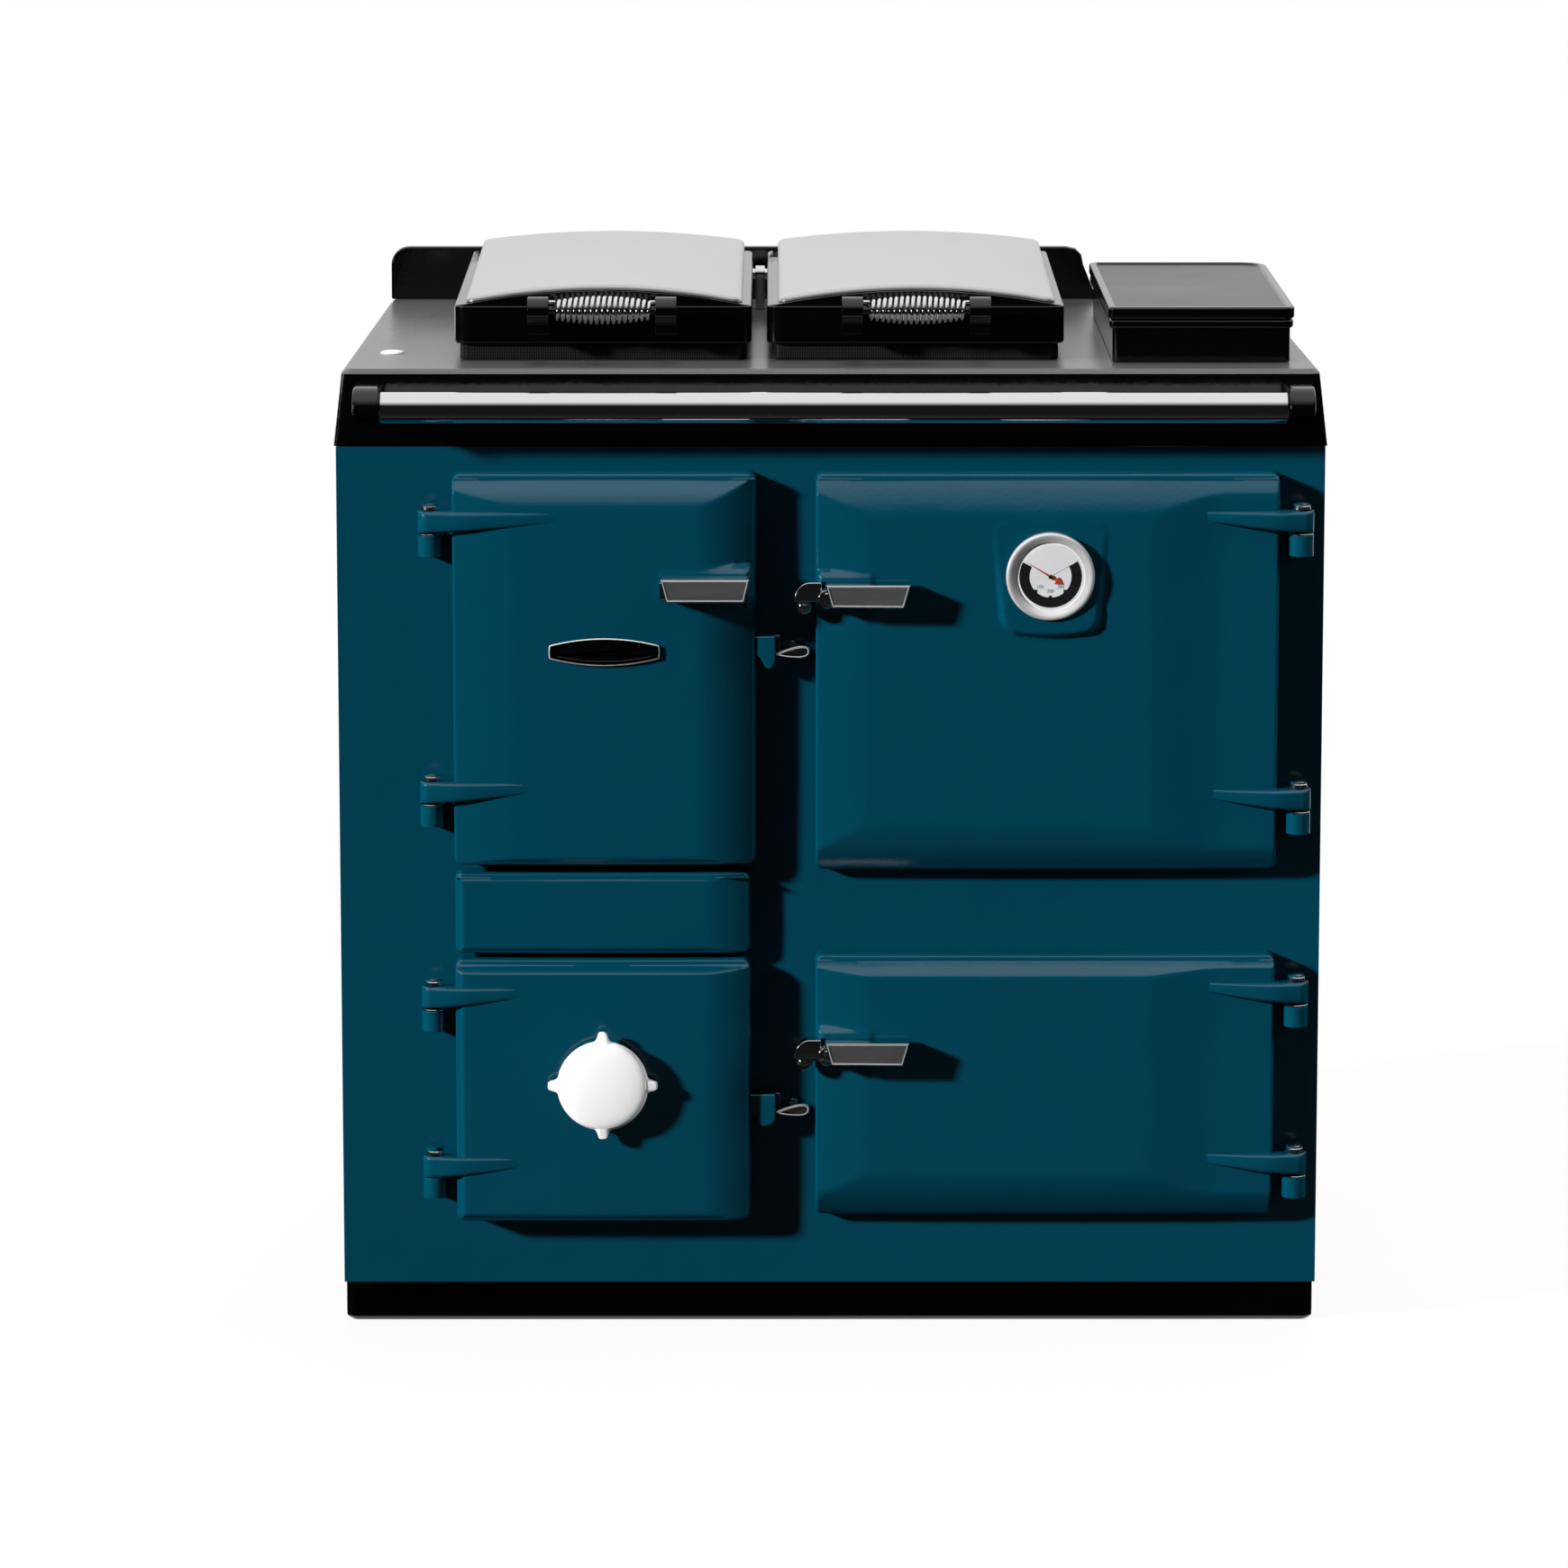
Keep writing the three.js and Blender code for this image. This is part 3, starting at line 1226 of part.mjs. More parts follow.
// An oven: a box open at the front, with a pair of shelf runners, and its wire shelf.
function oven(frame, prefix) {
  const lap = APERTURE_LAP;
  const [x0, x1] = [frame.x0 + lap, frame.x1 - lap];
  const [z0, z1] = [frame.z0 + lap, frame.z1 - lap];
  const w = OVEN_WALL;
  const inside = aperture(frame, panelFront - 1, OVEN_DEPTH - w);
  const shell = box(x0 - w, x1 + w, panelFront, OVEN_DEPTH, z0 - w, z1 + w).subtract(inside);
  const runnerTop = z0 + (z1 - z0) * SHELF_SHARE;
  const runnerFront = panelFront + SHELF_FRONT_GAP;
  const runner = (from, to) =>
    box(from, to, runnerFront, OVEN_DEPTH - w / 2, runnerTop - SHELF_BAR, runnerTop);
  const shellSides = [runner(x0 - w / 2, x0 + SHELF_RAIL), runner(x1 - SHELF_RAIL, x1 + w / 2)];
  addPiece(`${prefix}_box`, join(shell, shellSides), blackEnamel);

  const [s0, s1] = [x0 + SHELF_SIDE_GAP, x1 - SHELF_SIDE_GAP];
  const [y0, y1] = [runnerFront, OVEN_DEPTH - w - SHELF_SIDE_GAP];
  const bottom = runnerTop + SEAT;
  const bars = [];
  for (let i = 0; i < SHELF_BARS; i += 1) {
    const x = s0 + ((s1 - s0 - SHELF_BAR) * i) / (SHELF_BARS - 1);
    bars.push(box(x, x + SHELF_BAR, y0, y1, bottom, bottom + SHELF_BAR));
  }
  for (const y of [y0, y1 - SHELF_BAR]) {
    bars.push(box(s0, s1, y, y + SHELF_BAR, bottom, bottom + SHELF_BAR));
  }
  addPiece(`${prefix}_shelf`, join(bars), sheetSteel);
}

// The firebox over the ashpit: shell with ledges, bricks, sliding grate and ash pan.
function fire() {
  const lap = APERTURE_LAP;
  const w = FIRE_WALL;
  const [x0, x1] = [leftX + lap, leftX + LEFT_DOOR_WIDTH - lap];
  const z0 = lowerZ + lap;
  const z1 = doorsTop - lap;
  const back = FIRE_DEPTH - w;
  const shell = box(x0 - w, x1 + w, panelFront, FIRE_DEPTH, z0 - w, z1 + w);
  const inside = box(x0, x1, panelFront - 1, back, z0, z1);
  const ledgeBottom = grateZ - GRATE_LEDGE_HEIGHT;
  const ledges = [
    box(x0 - w / 2, x0 + GRATE_LEDGE, panelFront + w, back + w / 2, ledgeBottom, grateZ),
    box(x1 - GRATE_LEDGE, x1 + w / 2, panelFront + w, back + w / 2, ledgeBottom, grateZ),
    box(x0, x1, back - GRATE_LEDGE, back + w / 2, ledgeBottom, grateZ),
  ];
  addPiece("firebox_shell", join(shell.subtract(inside), ledges), castIron);

  const t = BRICK_THICKNESS;
  const brickBottom = grateZ + SEAT;
  const brickTop = brickBottom + BRICK_HEIGHT;
  const brickFront = panelFront + BRICK_FRONT_GAP;
  const sideBack = back - t - SEAT;
  const brick = (a, b, y0, y1) => box(a, b, y0, y1, brickBottom, brickTop);
  addPiece("firebrick_left", brick(x0 + SEAT, x0 + t, brickFront, sideBack), fireBrick);
  addPiece("firebrick_right", brick(x1 - t, x1 - SEAT, brickFront, sideBack), fireBrick);
  addPiece("firebrick_back", brick(x0 + SEAT, x1 - SEAT, back - t, back - SEAT), fireBrick);

  const grateGap = t + GRATE_SIDE_GAP;
  const [g0, g1] = [x0 + grateGap, x1 - grateGap];
  const [y0, y1] = [brickFront, back - t - GRATE_END_GAP];
  const grateTop = brickBottom + GRATE_THICKNESS;
  const bars = [];
  for (let i = 0; i < GRATE_BARS; i += 1) {
    const x = g0 + ((g1 - g0 - GRATE_BAR) * i) / (GRATE_BARS - 1);
    bars.push(box(x, x + GRATE_BAR, y0, y1, brickBottom, grateTop));
  }
  for (const y of [y0, y1 - GRATE_BAR]) {
    bars.push(box(g0, g1, y, y + GRATE_BAR, brickBottom, grateTop));
  }
  addPiece("grate", join(bars), castIron);

  const gap = ASH_PAN_SIDE_GAP;
  const pan = ASH_PAN_WALL;
  const [p0, p1] = [x0 + gap, x1 - gap];
  const [q0, q1] = [panelFront + ASH_PAN_FRONT_GAP, back - gap];
  const panBottom = z0 + SEAT;
  const panTop = panBottom + ASH_PAN_HEIGHT;
  const tray = box(p0, p1, q0, q1, panBottom, panTop).subtract(
    box(p0 + pan, p1 - pan, q0 + pan, q1 - pan, panBottom + pan, panTop + 1),
  );
  const middle = (p0 + p1) / 2;
  const grip = box(middle - 2 * gap, middle + 2 * gap, q0 - gap, q0 + 1, panTop - 2 * pan, panTop - pan);
  addPiece("ash_pan", join(tray, grip), sheetSteel);
}

addPiece("plinth", plinth(), blackEnamel);
baseAndPanels();
addPiece("front_plate", frontPlate(), tealEnamel);
addPiece("top_plate", topPlate(), blackEnamel);
addPiece("splashback", splashback(), blackEnamel);
lidXs.forEach((lidX, i) => {
  const side = i === 0 ? "left" : "right";
  addPiece(`${side}_hotplate`, hotplate(lidX), groundIron);
  lid(side, lidX);
  lidHandle(side, lidX);
});
addPiece("lid_hinge_rod", lidHingeRod(), chrome);
flueBox();
addPiece("flue_spigot", flueSpigot(), castIron);
towelRail();
addPiece("infill_panel", infillPanel(), tealEnamel);
fire();
fireboxDoor();
ashpitDoor();
oven(doors.mainOven, "main_oven");
oven(doors.lowerOven, "lower_oven");
ovenDoor(doors.mainOven, mainLeverZ, "main_oven", [gaugeBoss()]);
ovenDoor(doors.lowerOven, lowerLeverZ, "lower_oven");
thermometer();

const part = new THREE.Group();
part.add(cooker);
export default part;
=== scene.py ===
"""A cast iron range cooker in teal vitreous enamel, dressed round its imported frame."""

import json
import math

import bmesh
import bpy
from mathutils import Matrix, Vector

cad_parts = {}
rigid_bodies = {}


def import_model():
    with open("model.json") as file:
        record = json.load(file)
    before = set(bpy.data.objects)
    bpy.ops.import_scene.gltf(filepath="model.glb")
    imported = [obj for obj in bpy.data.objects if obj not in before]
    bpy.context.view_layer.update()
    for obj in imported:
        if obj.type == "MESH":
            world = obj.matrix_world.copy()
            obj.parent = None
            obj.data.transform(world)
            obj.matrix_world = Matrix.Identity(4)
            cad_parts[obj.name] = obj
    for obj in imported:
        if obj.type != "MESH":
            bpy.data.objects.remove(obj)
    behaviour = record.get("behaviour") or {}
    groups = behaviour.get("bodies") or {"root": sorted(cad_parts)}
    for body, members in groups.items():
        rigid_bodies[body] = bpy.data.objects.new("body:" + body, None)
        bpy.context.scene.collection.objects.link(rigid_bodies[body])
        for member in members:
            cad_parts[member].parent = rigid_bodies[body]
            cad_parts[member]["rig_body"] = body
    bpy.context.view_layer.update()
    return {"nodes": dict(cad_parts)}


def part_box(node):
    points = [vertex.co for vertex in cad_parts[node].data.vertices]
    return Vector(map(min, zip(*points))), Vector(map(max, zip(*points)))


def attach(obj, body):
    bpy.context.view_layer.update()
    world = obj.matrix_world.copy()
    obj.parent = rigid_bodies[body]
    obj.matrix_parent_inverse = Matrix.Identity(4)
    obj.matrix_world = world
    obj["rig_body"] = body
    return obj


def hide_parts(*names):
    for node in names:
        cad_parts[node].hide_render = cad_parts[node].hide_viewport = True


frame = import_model()
scene = bpy.context.scene


# ---- The camera ----
# The cooker was photographed from straight ahead and a little above, through
# a long lens. The film is shifted a touch, to set the cooker in the frame.
degrees_down, radians_aside = 9.4255, -0.0013
camera_data = bpy.data.cameras.new("camera")
camera_data.lens = 157.245
camera_data.sensor_width = 36.0
camera_data.shift_y = -0.06
camera = bpy.data.objects.new("camera", camera_data)
camera.location = (-0.0502, -6.4510, 1.6185)
camera.rotation_euler = (math.radians(90 - degrees_down), 0.0, radians_aside)
scene.collection.objects.link(camera)
scene.camera = camera
scene.view_settings.view_transform = "Standard"


# ---- The studio ----
# A white floor and a white surround, a key lamp high on the left that throws
# crisp shadows to the right, and weak lamps that open the sides and the back.
class Signal:
    """One output in a node tree. An expression on signals adds its Math nodes."""

    def __init__(self, nodes, socket):
        self.nodes = nodes
        self.socket = socket

    def math(self, operation, first, second=0.0):
        return self.nodes.add("Math", {"operation": operation}, {0: first, 1: second})

    def __add__(self, other):
        return self.math("ADD", self, other)

    __radd__ = __add__

    def __sub__(self, other):
        return self.math("SUBTRACT", self, other)

    def __rsub__(self, other):
        return self.math("SUBTRACT", other, self)

    def __mul__(self, other):
        return self.math("MULTIPLY", self, other)

    __rmul__ = __mul__

    def __pow__(self, other):
        return self.math("POWER", self, other)

    def at_most(self, other):
        return self.math("MINIMUM", self, other)

    def at_least(self, other):
        return self.math("MAXIMUM", self, other)

    def sine(self):
        return self.math("SINE", self)

    def beside(self, output):
        """Another output of the same node."""
        return Signal(self.nodes, self.socket.node.outputs[output])


class Nodes:
    """A node tree that grows one node at a time."""

    def __init__(self, tree):
        self.tree = tree
        self.tree.nodes.clear()

    def add(self, kind, settings=None, inputs=None, output=0):
        node = self.tree.nodes.new("ShaderNode" + kind)
        for name, value in (settings or {}).items():
            setattr(node, name, value)
        for name, value in (inputs or {}).items():
            self.feed(node.inputs[name], value)
        return Signal(self, node.outputs[output])

    def feed(self, socket, value):
        """A socket takes a signal or a plain value."""
        if isinstance(value, Signal):
            self.tree.links.new(value.socket, socket)
        else:
            socket.default_value = value

    def blended(self, factor, first, second):
        """Two colours, mixed by a factor."""
        return self.add("Mix", {"data_type": "RGBA"}, {0: factor, 6: first, 7: second}, 2)


world = bpy.data.worlds.new("studio")
world.use_nodes = True
scene.world = world
air = Nodes(world.node_tree)
seen = air.add("LightPath", output="Is Camera Ray")
mirrored = seen.beside("Is Glossy Ray")
through = seen.beside("Is Transmission Ray")
full_white = (1.0, 1.0, 1.0, 1.0)
soft_light = air.add("Background", {}, {"Color": full_white, "Strength": 0.022})
heading = air.add("TexCoord", output="Generated")
backward = air.add("SeparateXYZ", {}, {0: heading}, "Y")
upward = backward.beside("Z")
# In gloss the back half is white, a little dimmer low down; in front only the
# ceiling is white.
behind = (backward * 4.0 + 0.5).at_least(0.0).at_most(1.0)
wall = (upward * 1.6 + 0.56).at_least(0.5).at_most(1.0)
ceiling = ((upward - 0.36) * 2.4).at_least(0.0).at_most(1.0) ** 1.2
in_gloss = behind * wall + (1.0 - behind) * ceiling
reflected = seen + through + (1.0 - seen - through) * in_gloss
white_surround = air.add("Background", {}, {"Color": full_white, "Strength": reflected})
shown = (seen + mirrored + through).at_most(1.0)
sky = air.add("MixShader", {}, {0: shown, 1: soft_light, 2: white_surround})
world_output = air.tree.nodes.new("ShaderNodeOutputWorld")
air.feed(world_output.inputs["Surface"], sky)


def add_sun(name, towards, energy, degrees):
    """A far lamp that shines from the direction towards, and doesn't show in gloss."""
    light = bpy.data.lights.new(name, "SUN")
    light.energy = energy
    light.angle = math.radians(degrees)
    lamp = bpy.data.objects.new(name, light)
    lamp.rotation_euler = Vector(towards).to_track_quat("Z", "Y").to_euler()
    lamp.visible_glossy = False
    scene.collection.objects.link(lamp)


add_sun("key_lamp", (-1.9, -1.0, 0.79), 6.7, 5.0)
add_sun("top_lamp", (0.0, 0.12, 1.0), 1.7, 20.0)
add_sun("side_lamp", (0.9, 0.02, 0.42), 2.4, 30.0)
add_sun("back_lamp", (0.1, 0.9, 0.42), 2.4, 40.0)


class Finish(Nodes):
    """A surface finish: one principled shader and the nodes that vary it."""

    def __init__(self, name, **constants):
        self.material = bpy.data.materials.new(name)
        self.material.use_nodes = True
        super().__init__(self.material.node_tree)
        self.output = self.tree.nodes.new("ShaderNodeOutputMaterial")
        self.shader = self.tree.nodes.new("ShaderNodeBsdfPrincipled")
        self.tree.links.new(self.shader.outputs[0], self.output.inputs[0])
        self.set(**constants)

    def set(self, **values):
        for name, value in values.items():
            self.feed(self.shader.inputs[name.replace("_", " ")], value)

    def shades(self, factor, first, second):
        """The base colour lies between two colours, as the factor says."""
        self.set(Base_Color=self.blended(factor, (*first, 1.0), (*second, 1.0)))

    def place(self, stretch=(1.0, 1.0, 1.0)):
        """Object coordinates, in metres, stretched."""
        where = self.add("TexCoord", output="Object")
        return self.add("Mapping", {}, {"Vector": where, "Scale": stretch})

    def noise(self, scale, detail=2.0, stretch=(1.0, 1.0, 1.0), roughness=0.5):
        where = {"Vector": self.place(stretch), "Scale": scale, "Detail": detail}
        return self.add("TexNoise", {}, where | {"Roughness": roughness})

    def relief(self, height, distance):
        bump = {"Height": height, "Distance": distance, "Strength": 1.0}
        self.set(Normal=self.add("Bump", {}, bump))


def mesh_object(name, bm):
    """An object in the scene, with the mesh that was built."""
    mesh = bpy.data.meshes.new(name)
    bm.to_mesh(mesh)
    bm.free()
    made = bpy.data.objects.new(name, mesh)
    scene.collection.objects.link(made)
    return made


# The floor gives back little of the light that falls on it, but shows as
# white to the camera and nearly white in gloss.
floor_bm = bmesh.new()
bmesh.ops.create_grid(floor_bm, x_segments=1, y_segments=1, size=14.0)
floor = mesh_object("floor", floor_bm)

paper = Finish("floor_paper", Roughness=0.9, Specular_IOR_Level=0.0)
path = paper.add("LightPath", output="Is Camera Ray")
paper.shades(path.beside("Is Diffuse Ray"), (0.62, 0.62, 0.62), (0.04, 0.04, 0.04))
white = paper.add("Emission", {}, {"Color": full_white, "Strength": 1.0})
shown = path + path.beside("Is Glossy Ray") * 0.6 + path.beside("Is Transmission Ray")
lit = Signal(paper, paper.shader.outputs[0])
mixed = {0: shown.at_most(1.0) * 0.92, 1: lit, 2: white}
paper.feed(paper.output.inputs[0], paper.add("MixShader", {}, mixed))
floor.data.materials.append(paper.material)


# Cards stand or lie in front and at the sides, seen only in reflections. Dark
# ones keep the white surround out of the upright enamel, as a studio's flags
# do. A small bright one is the key lamp's window, which edges and chrome catch.
def add_flag(name, low, high, glow):
    """An upright or lying card between two corners, with a glow of its own."""
    cloth = Finish("flag_cloth_" + name, Roughness=1.0, Specular_IOR_Level=0.0)
    cloth.set(Base_Color=(0.003, 0.003, 0.003, 1.0))
    cloth.set(Emission_Color=full_white, Emission_Strength=glow)
    bm = bmesh.new()
    bmesh.ops.create_grid(bm, x_segments=1, y_segments=1, size=0.5)
    low, high = Vector(low), Vector(high)
    span = high - low
    for vert in bm.verts:
        across, along = vert.co.x + 0.5, vert.co.y + 0.5
        if span.y == 0.0:
            part = (across, 0.0, along)
        elif span.x == 0.0:
            part = (0.0, across, along)
        else:
            part = (across, along, 0.0)
        vert.co = low + Vector(a * b for a, b in zip(span, part))
    flag = mesh_object(name, bm)
    flag.data.materials.append(cloth.material)
    for ray in ("camera", "diffuse", "transmission", "volume_scatter", "shadow"):
        setattr(flag, "visible_" + ray, False)


wing, front, back = 1.9, -1.35, 1.4
body_side, plinth_front, lying = 0.452, -0.2775, 0.003
add_flag("flag_front", (-wing, front, 0.004), (wing, front, 1.2), 0.008)
add_flag("flag_floor_near", (-wing, -0.62, lying), (wing, plinth_front, lying), 0.002)
add_flag("flag_floor_middle", (-wing, -0.95, lying), (wing, -0.62, lying), 0.02)
add_flag("flag_floor_far", (-wing, front, lying), (wing, -0.95, lying), 0.008)
add_flag("flag_left", (-wing, front, 0.004), (-wing, back, 1.3), 0.01)
add_flag("flag_left_floor", (-wing, plinth_front, lying), (-body_side, back, lying), 0.002)
add_flag("key_window", (-1.88, -1.3, 0.95), (-1.88, -0.8, 1.29), 9.0)
add_flag("flag_right", (wing, front, 0.004), (wing, back, 1.3), 0.01)
add_flag("flag_right_floor", (body_side, plinth_front, lying), (wing, back, lying), 0.002)


# ---- Front plate and side panels ----
# The cast front plate and the side panels are coated in teal vitreous enamel,
# fired to a deep gloss with a faint ripple. The plate carries the hinge lugs.
teal = Finish("teal_vitreous_enamel", IOR=1.6)
teal.shades(teal.noise(5.0, 3.0), (0.0001, 0.0450, 0.0750), (0.0002, 0.0515, 0.0860))
orange_peel = teal.noise(230.0, 1.0)
casting_sway = teal.noise(22.0, 1.0)
teal.relief(orange_peel * 0.14 + casting_sway * 0.86, 0.0008)
teal.set(Roughness=0.13 + teal.noise(60.0, 3.0) * 0.1)


def make_piece(name, bm, finishes, body, slot, stands_for=(), sharp=40.0, even=True):
    """The mesh becomes a piece of the cooker: finished, smoothed and set on its body."""
    piece = mesh_object(name, bm)
    for finish in finishes if isinstance(finishes, list) else [finishes]:
        piece.data.materials.append(finish.material)
    piece.data.shade_smooth()
    piece.data.set_sharp_from_angle(angle=math.radians(sharp))
    if even:
        piece.modifiers.new("even_normals", "WEIGHTED_NORMAL").keep_sharp = True
    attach(piece, body)
    if stands_for:
        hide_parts(*stands_for)
    return piece


def eased(bm, edges, radius, segments=3):
    """Rounds the given edges."""
    arc = {"offset": radius, "segments": segments, "profile": 0.5}
    bmesh.ops.bevel(bm, geom=edges, affect="EDGES", material=-1, clamp_overlap=True, **arc)


def softened(node, finish, slot, radius=1.0, segments=2, refit=None):
    """A finer copy of a CAD solid, with the small radii that casting and pressing leave."""
    source = frame["nodes"][node]
    bm = bmesh.new()
    bm.from_mesh(source.data)
    bmesh.ops.remove_doubles(bm, verts=bm.verts[:], dist=1e-5)
    if refit:
        for vert in bm.verts:
            vert.co = Vector(refit(*(vert.co * 1000))) / 1000
    flat = math.radians(1.5)
    bmesh.ops.dissolve_limit(bm, angle_limit=flat, verts=bm.verts[:], edges=bm.edges[:])
    for face in bm.faces:
        face.material_index = 0
    corner = math.radians(38)
    edges = [e for e in bm.edges if len(e.link_faces) == 2 and e.calc_face_angle(0.0) > corner]
    eased(bm, edges, radius * 0.001, segments)
    return make_piece(node + "_finished", bm, finish, source["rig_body"], slot, (node,))


skirt_lift = 2.0


def up_to_skirt(x, y, z):
    """The upright plates reach a little higher, up to the top plate's lifted skirt."""
    return x, y, z + skirt_lift if z > 815.0 else z


softened("front_plate", teal, "teal_enamel", 1.2, 2, up_to_skirt)
softened("left_side_panel", teal, "teal_enamel", 1.5, 2, up_to_skirt)
softened("right_side_panel", teal, "teal_enamel", 1.5, 2, up_to_skirt)


# ---- The four doors and the infill ----
# Each door is one iron casting: mitred flanks of its own widths, a thin roll
# along the top and a crowned face, with its pads cast on, all under teal
# enamel. The infill between the left-hand doors is a plain casting like them.
plate_y = -300.0
PLATE = Matrix.Translation((0.0, plate_y / 1000, 0.0)) @ Matrix.Scale(0.001, 4)
door_corner = 7.0
roll_height, roll_width = 26.0, 4.0
gauge_x, gauge_z = 198.0, 708.0
main_lever_z, lower_lever_z = 690.0, 269.0


def drawn_piece(name, bm, *details, at=PLATE, **options):
    """A piece whose mesh was drawn in millimetres, from the plane of the front plate."""
    bm.transform(at)
    make_piece(name, bm, *details, **options)


def soft_least(a, b, softness):
    """The smaller of two heights, with the crease between them rounded."""
    lap = max(softness - abs(a - b), 0.0) / softness
    return min(a, b) - lap * lap * softness / 4


def soft_most(a, b, softness):
    return -soft_least(-a, -b, softness)


def stations(half, fine_width, fine_step, step):
    """Grid lines from one edge of a casting to the other, closer together near the rim."""
    rim = [i * fine_step for i in range(round(fine_width / fine_step))]
    middle = 2 * (half - fine_width)
    count = max(2, round(middle / step))
    lines = [-half + t for t in rim]
    lines += [-half + fine_width + middle * i / count for i in range(count + 1)]
    return lines + [half - t for t in reversed(rim)]


def into_corner(x, z, half_x, half_z, corner):
    """Moves a point of a square grid inside a rectangle with round corners."""
    over_x, over_z = abs(x) - (half_x - corner), abs(z) - (half_z - corner)
    if over_x <= 0 or over_z <= 0:
        return x, z
    a, b = over_x / corner, over_z / corner
    round_x = a * math.sqrt(1 - b * b / 2) * corner
    round_z = b * math.sqrt(1 - a * a / 2) * corner
    inner_x, inner_z = half_x - corner, half_z - corner
    return math.copysign(inner_x + round_x, x), math.copysign(inner_z + round_z, z)


def edge_distance(x, z, half_x, half_z, corner):
    """How far a point lies inside a rectangle with round corners."""
    over_x, over_z = abs(x) - (half_x - corner), abs(z) - (half_z - corner)
    if over_x > 0 and over_z > 0:
        return corner - math.hypot(over_x, over_z)
    return corner - max(over_x, over_z)


def rim_fall(edge, radius=3.0):
    """How far a rounded rim has fallen away, at a distance inside its outline."""
    if edge >= radius:
        return 0.0
    return radius - math.sqrt(max(0.0, radius**2 - (radius - edge) ** 2))


def flank_drop(distance, margin, reach, depth, power):
    """How far a flank lies under the crown: level for its margin, then rising in a curve."""
    part = min(1.0, max(0.0, (distance - margin) / (reach - margin)))
    if power == "sway":
        return depth * (0.5 + 0.5 * math.cos(math.pi * part))
    return depth * (1 - part) ** power


def door_rise(x, z, half_x, half_z, flanks, crown_height):
    """How far a plain door stands out of the front plate, in millimetres."""
    drop = 0.0
    distances = (half_x + x, half_x - x, half_z + z, half_z - z)
    for distance, flank in zip(distances, flanks):
        drop = soft_most(drop, flank_drop(distance, *flank), 0.8)
    rise = crown_height - 1.5 * (x / half_x) ** 2 - 0.8 * (z / half_z) ** 2 - drop
    below_top = half_z - z
    if below_top < roll_width + 1.5:
        # The upper edge is a thin roll, with a step down to the flank beneath it.
        step = min(1.0, max(0.0, (below_top - roll_width) / 1.5))
        rise = min(rise, roll_height) * (1 - step) + (roll_height - 1.0) * step
    return rise - rim_fall(edge_distance(x, z, half_x, half_z, door_corner))


def raised_pad(x, z, x0, x1, z0, z1, front, flank, corner, fall):
    """The height of a cast pad with flanks that fall away in a curve."""
    half_x, half_z = (x1 - x0) / 2, (z1 - z0) / 2
    inside = edge_distance(x - (x0 + x1) / 2, z - (z0 + z1) / 2, half_x, half_z, corner)
    if inside < 0:
        return front - fall + 6.0 * inside
    return front - fall * max(0.0, 1 - inside / flank) ** 1.4


def pillow(columns, rows, surface, foot):
    """A closed sheet over a grid: surface places its points, foot those at its rim's foot."""
    bm = bmesh.new()
    across, up = len(columns) - 1, len(rows) - 1
    bmesh.ops.create_grid(bm, x_segments=across, y_segments=up, size=1.0)
    for vert in bm.verts:
        column = columns[round((vert.co.x + 1) / 2 * across)]
        vert.co = surface(column, rows[round((vert.co.y + 1) / 2 * up)])
    rim = [e for e in bm.edges if e.is_boundary]
    for part in bmesh.ops.extrude_edge_only(bm, edges=rim)["geom"]:
        if isinstance(part, bmesh.types.BMVert):
            part.co = foot(*part.co)
    bmesh.ops.holes_fill(bm, edges=[e for e in bm.edges if e.is_boundary], sides=0)
    bmesh.ops.recalc_face_normals(bm, faces=bm.faces[:])
    return bm


def door_casting(node, pads, flanks, crown_height=38.2, cell=2.4):
    """One door: a fine sheet drawn to the casting's relief, then closed behind."""
    x0, x1, z0, z1 = door_outlines[node]
    half_x, half_z = (x1 - x0) / 2, (z1 - z0) / 2
    middle_x, middle_z = (x0 + x1) / 2, (z0 + z1) / 2

    def relief(column, row):
        x, z = into_corner(column, row, half_x, half_z, door_corner)
        rise = door_rise(x, z, half_x, half_z, flanks, crown_height)
        if edge_distance(x, z, half_x, half_z, door_corner) > 1.0:
            for pad in pads:
                rise = soft_most(rise, pad(x + middle_x, z + middle_z), 3.0)
        return x + middle_x, -rise, z + middle_z

    fine_width, fine_step = 14.0, 1.0
    columns = stations(half_x, fine_width, fine_step, cell)
    rows = stations(half_z, fine_width, fine_step, cell)
    bm = pillow(columns, rows, relief, lambda x, y, z: (x, -1.0, z))
    name = node.removesuffix("_panel") + "_casting"
    body = frame["nodes"][node]["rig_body"]
    drawn_piece(name, bm, teal, body, "teal_enamel", (node,), 50.0, even=False)


door_outlines = {
    "firebox_door": (-342.0, -67.5, 441.0, 799.0),
    "ashpit_door": (-342.0, -73.0, 108.5, 352.0),
    "infill_panel": (-342.0, -73.0, 357.0, 432.5),
    "main_oven_door": (-13.5, 405.5, 434.0, 799.0),
    "lower_oven_door": (-13.5, 405.5, 111.0, 356.0),
}


def gauge_boss(x, z):
    """The shield cast behind the thermometer: a bowed foot, and sides that sink upwards."""
    across = (x - gauge_x) / 47.0
    foot = 651.0 + 5.5 * across * across
    half = 44.0 + 0.12 * (z - foot)
    head = 43.8 - 7.0 * min(1.0, max(0.0, (z - 665.0) / 84.0))
    return raised_pad(x, z, gauge_x - half, gauge_x + half, foot, 760.0, head, 4.5, 14.0, 7.6)


def lever_pad(lever_z):
    """The low seat of a lever's pivot, with a slanted upper edge."""
    z0, z1 = lever_z - 12.0, lever_z + 22.0
    return lambda x, z: raised_pad(x, z, -12.5, 42.0, z0, z1, 38.9, 7.0, 6.0, 5.0)


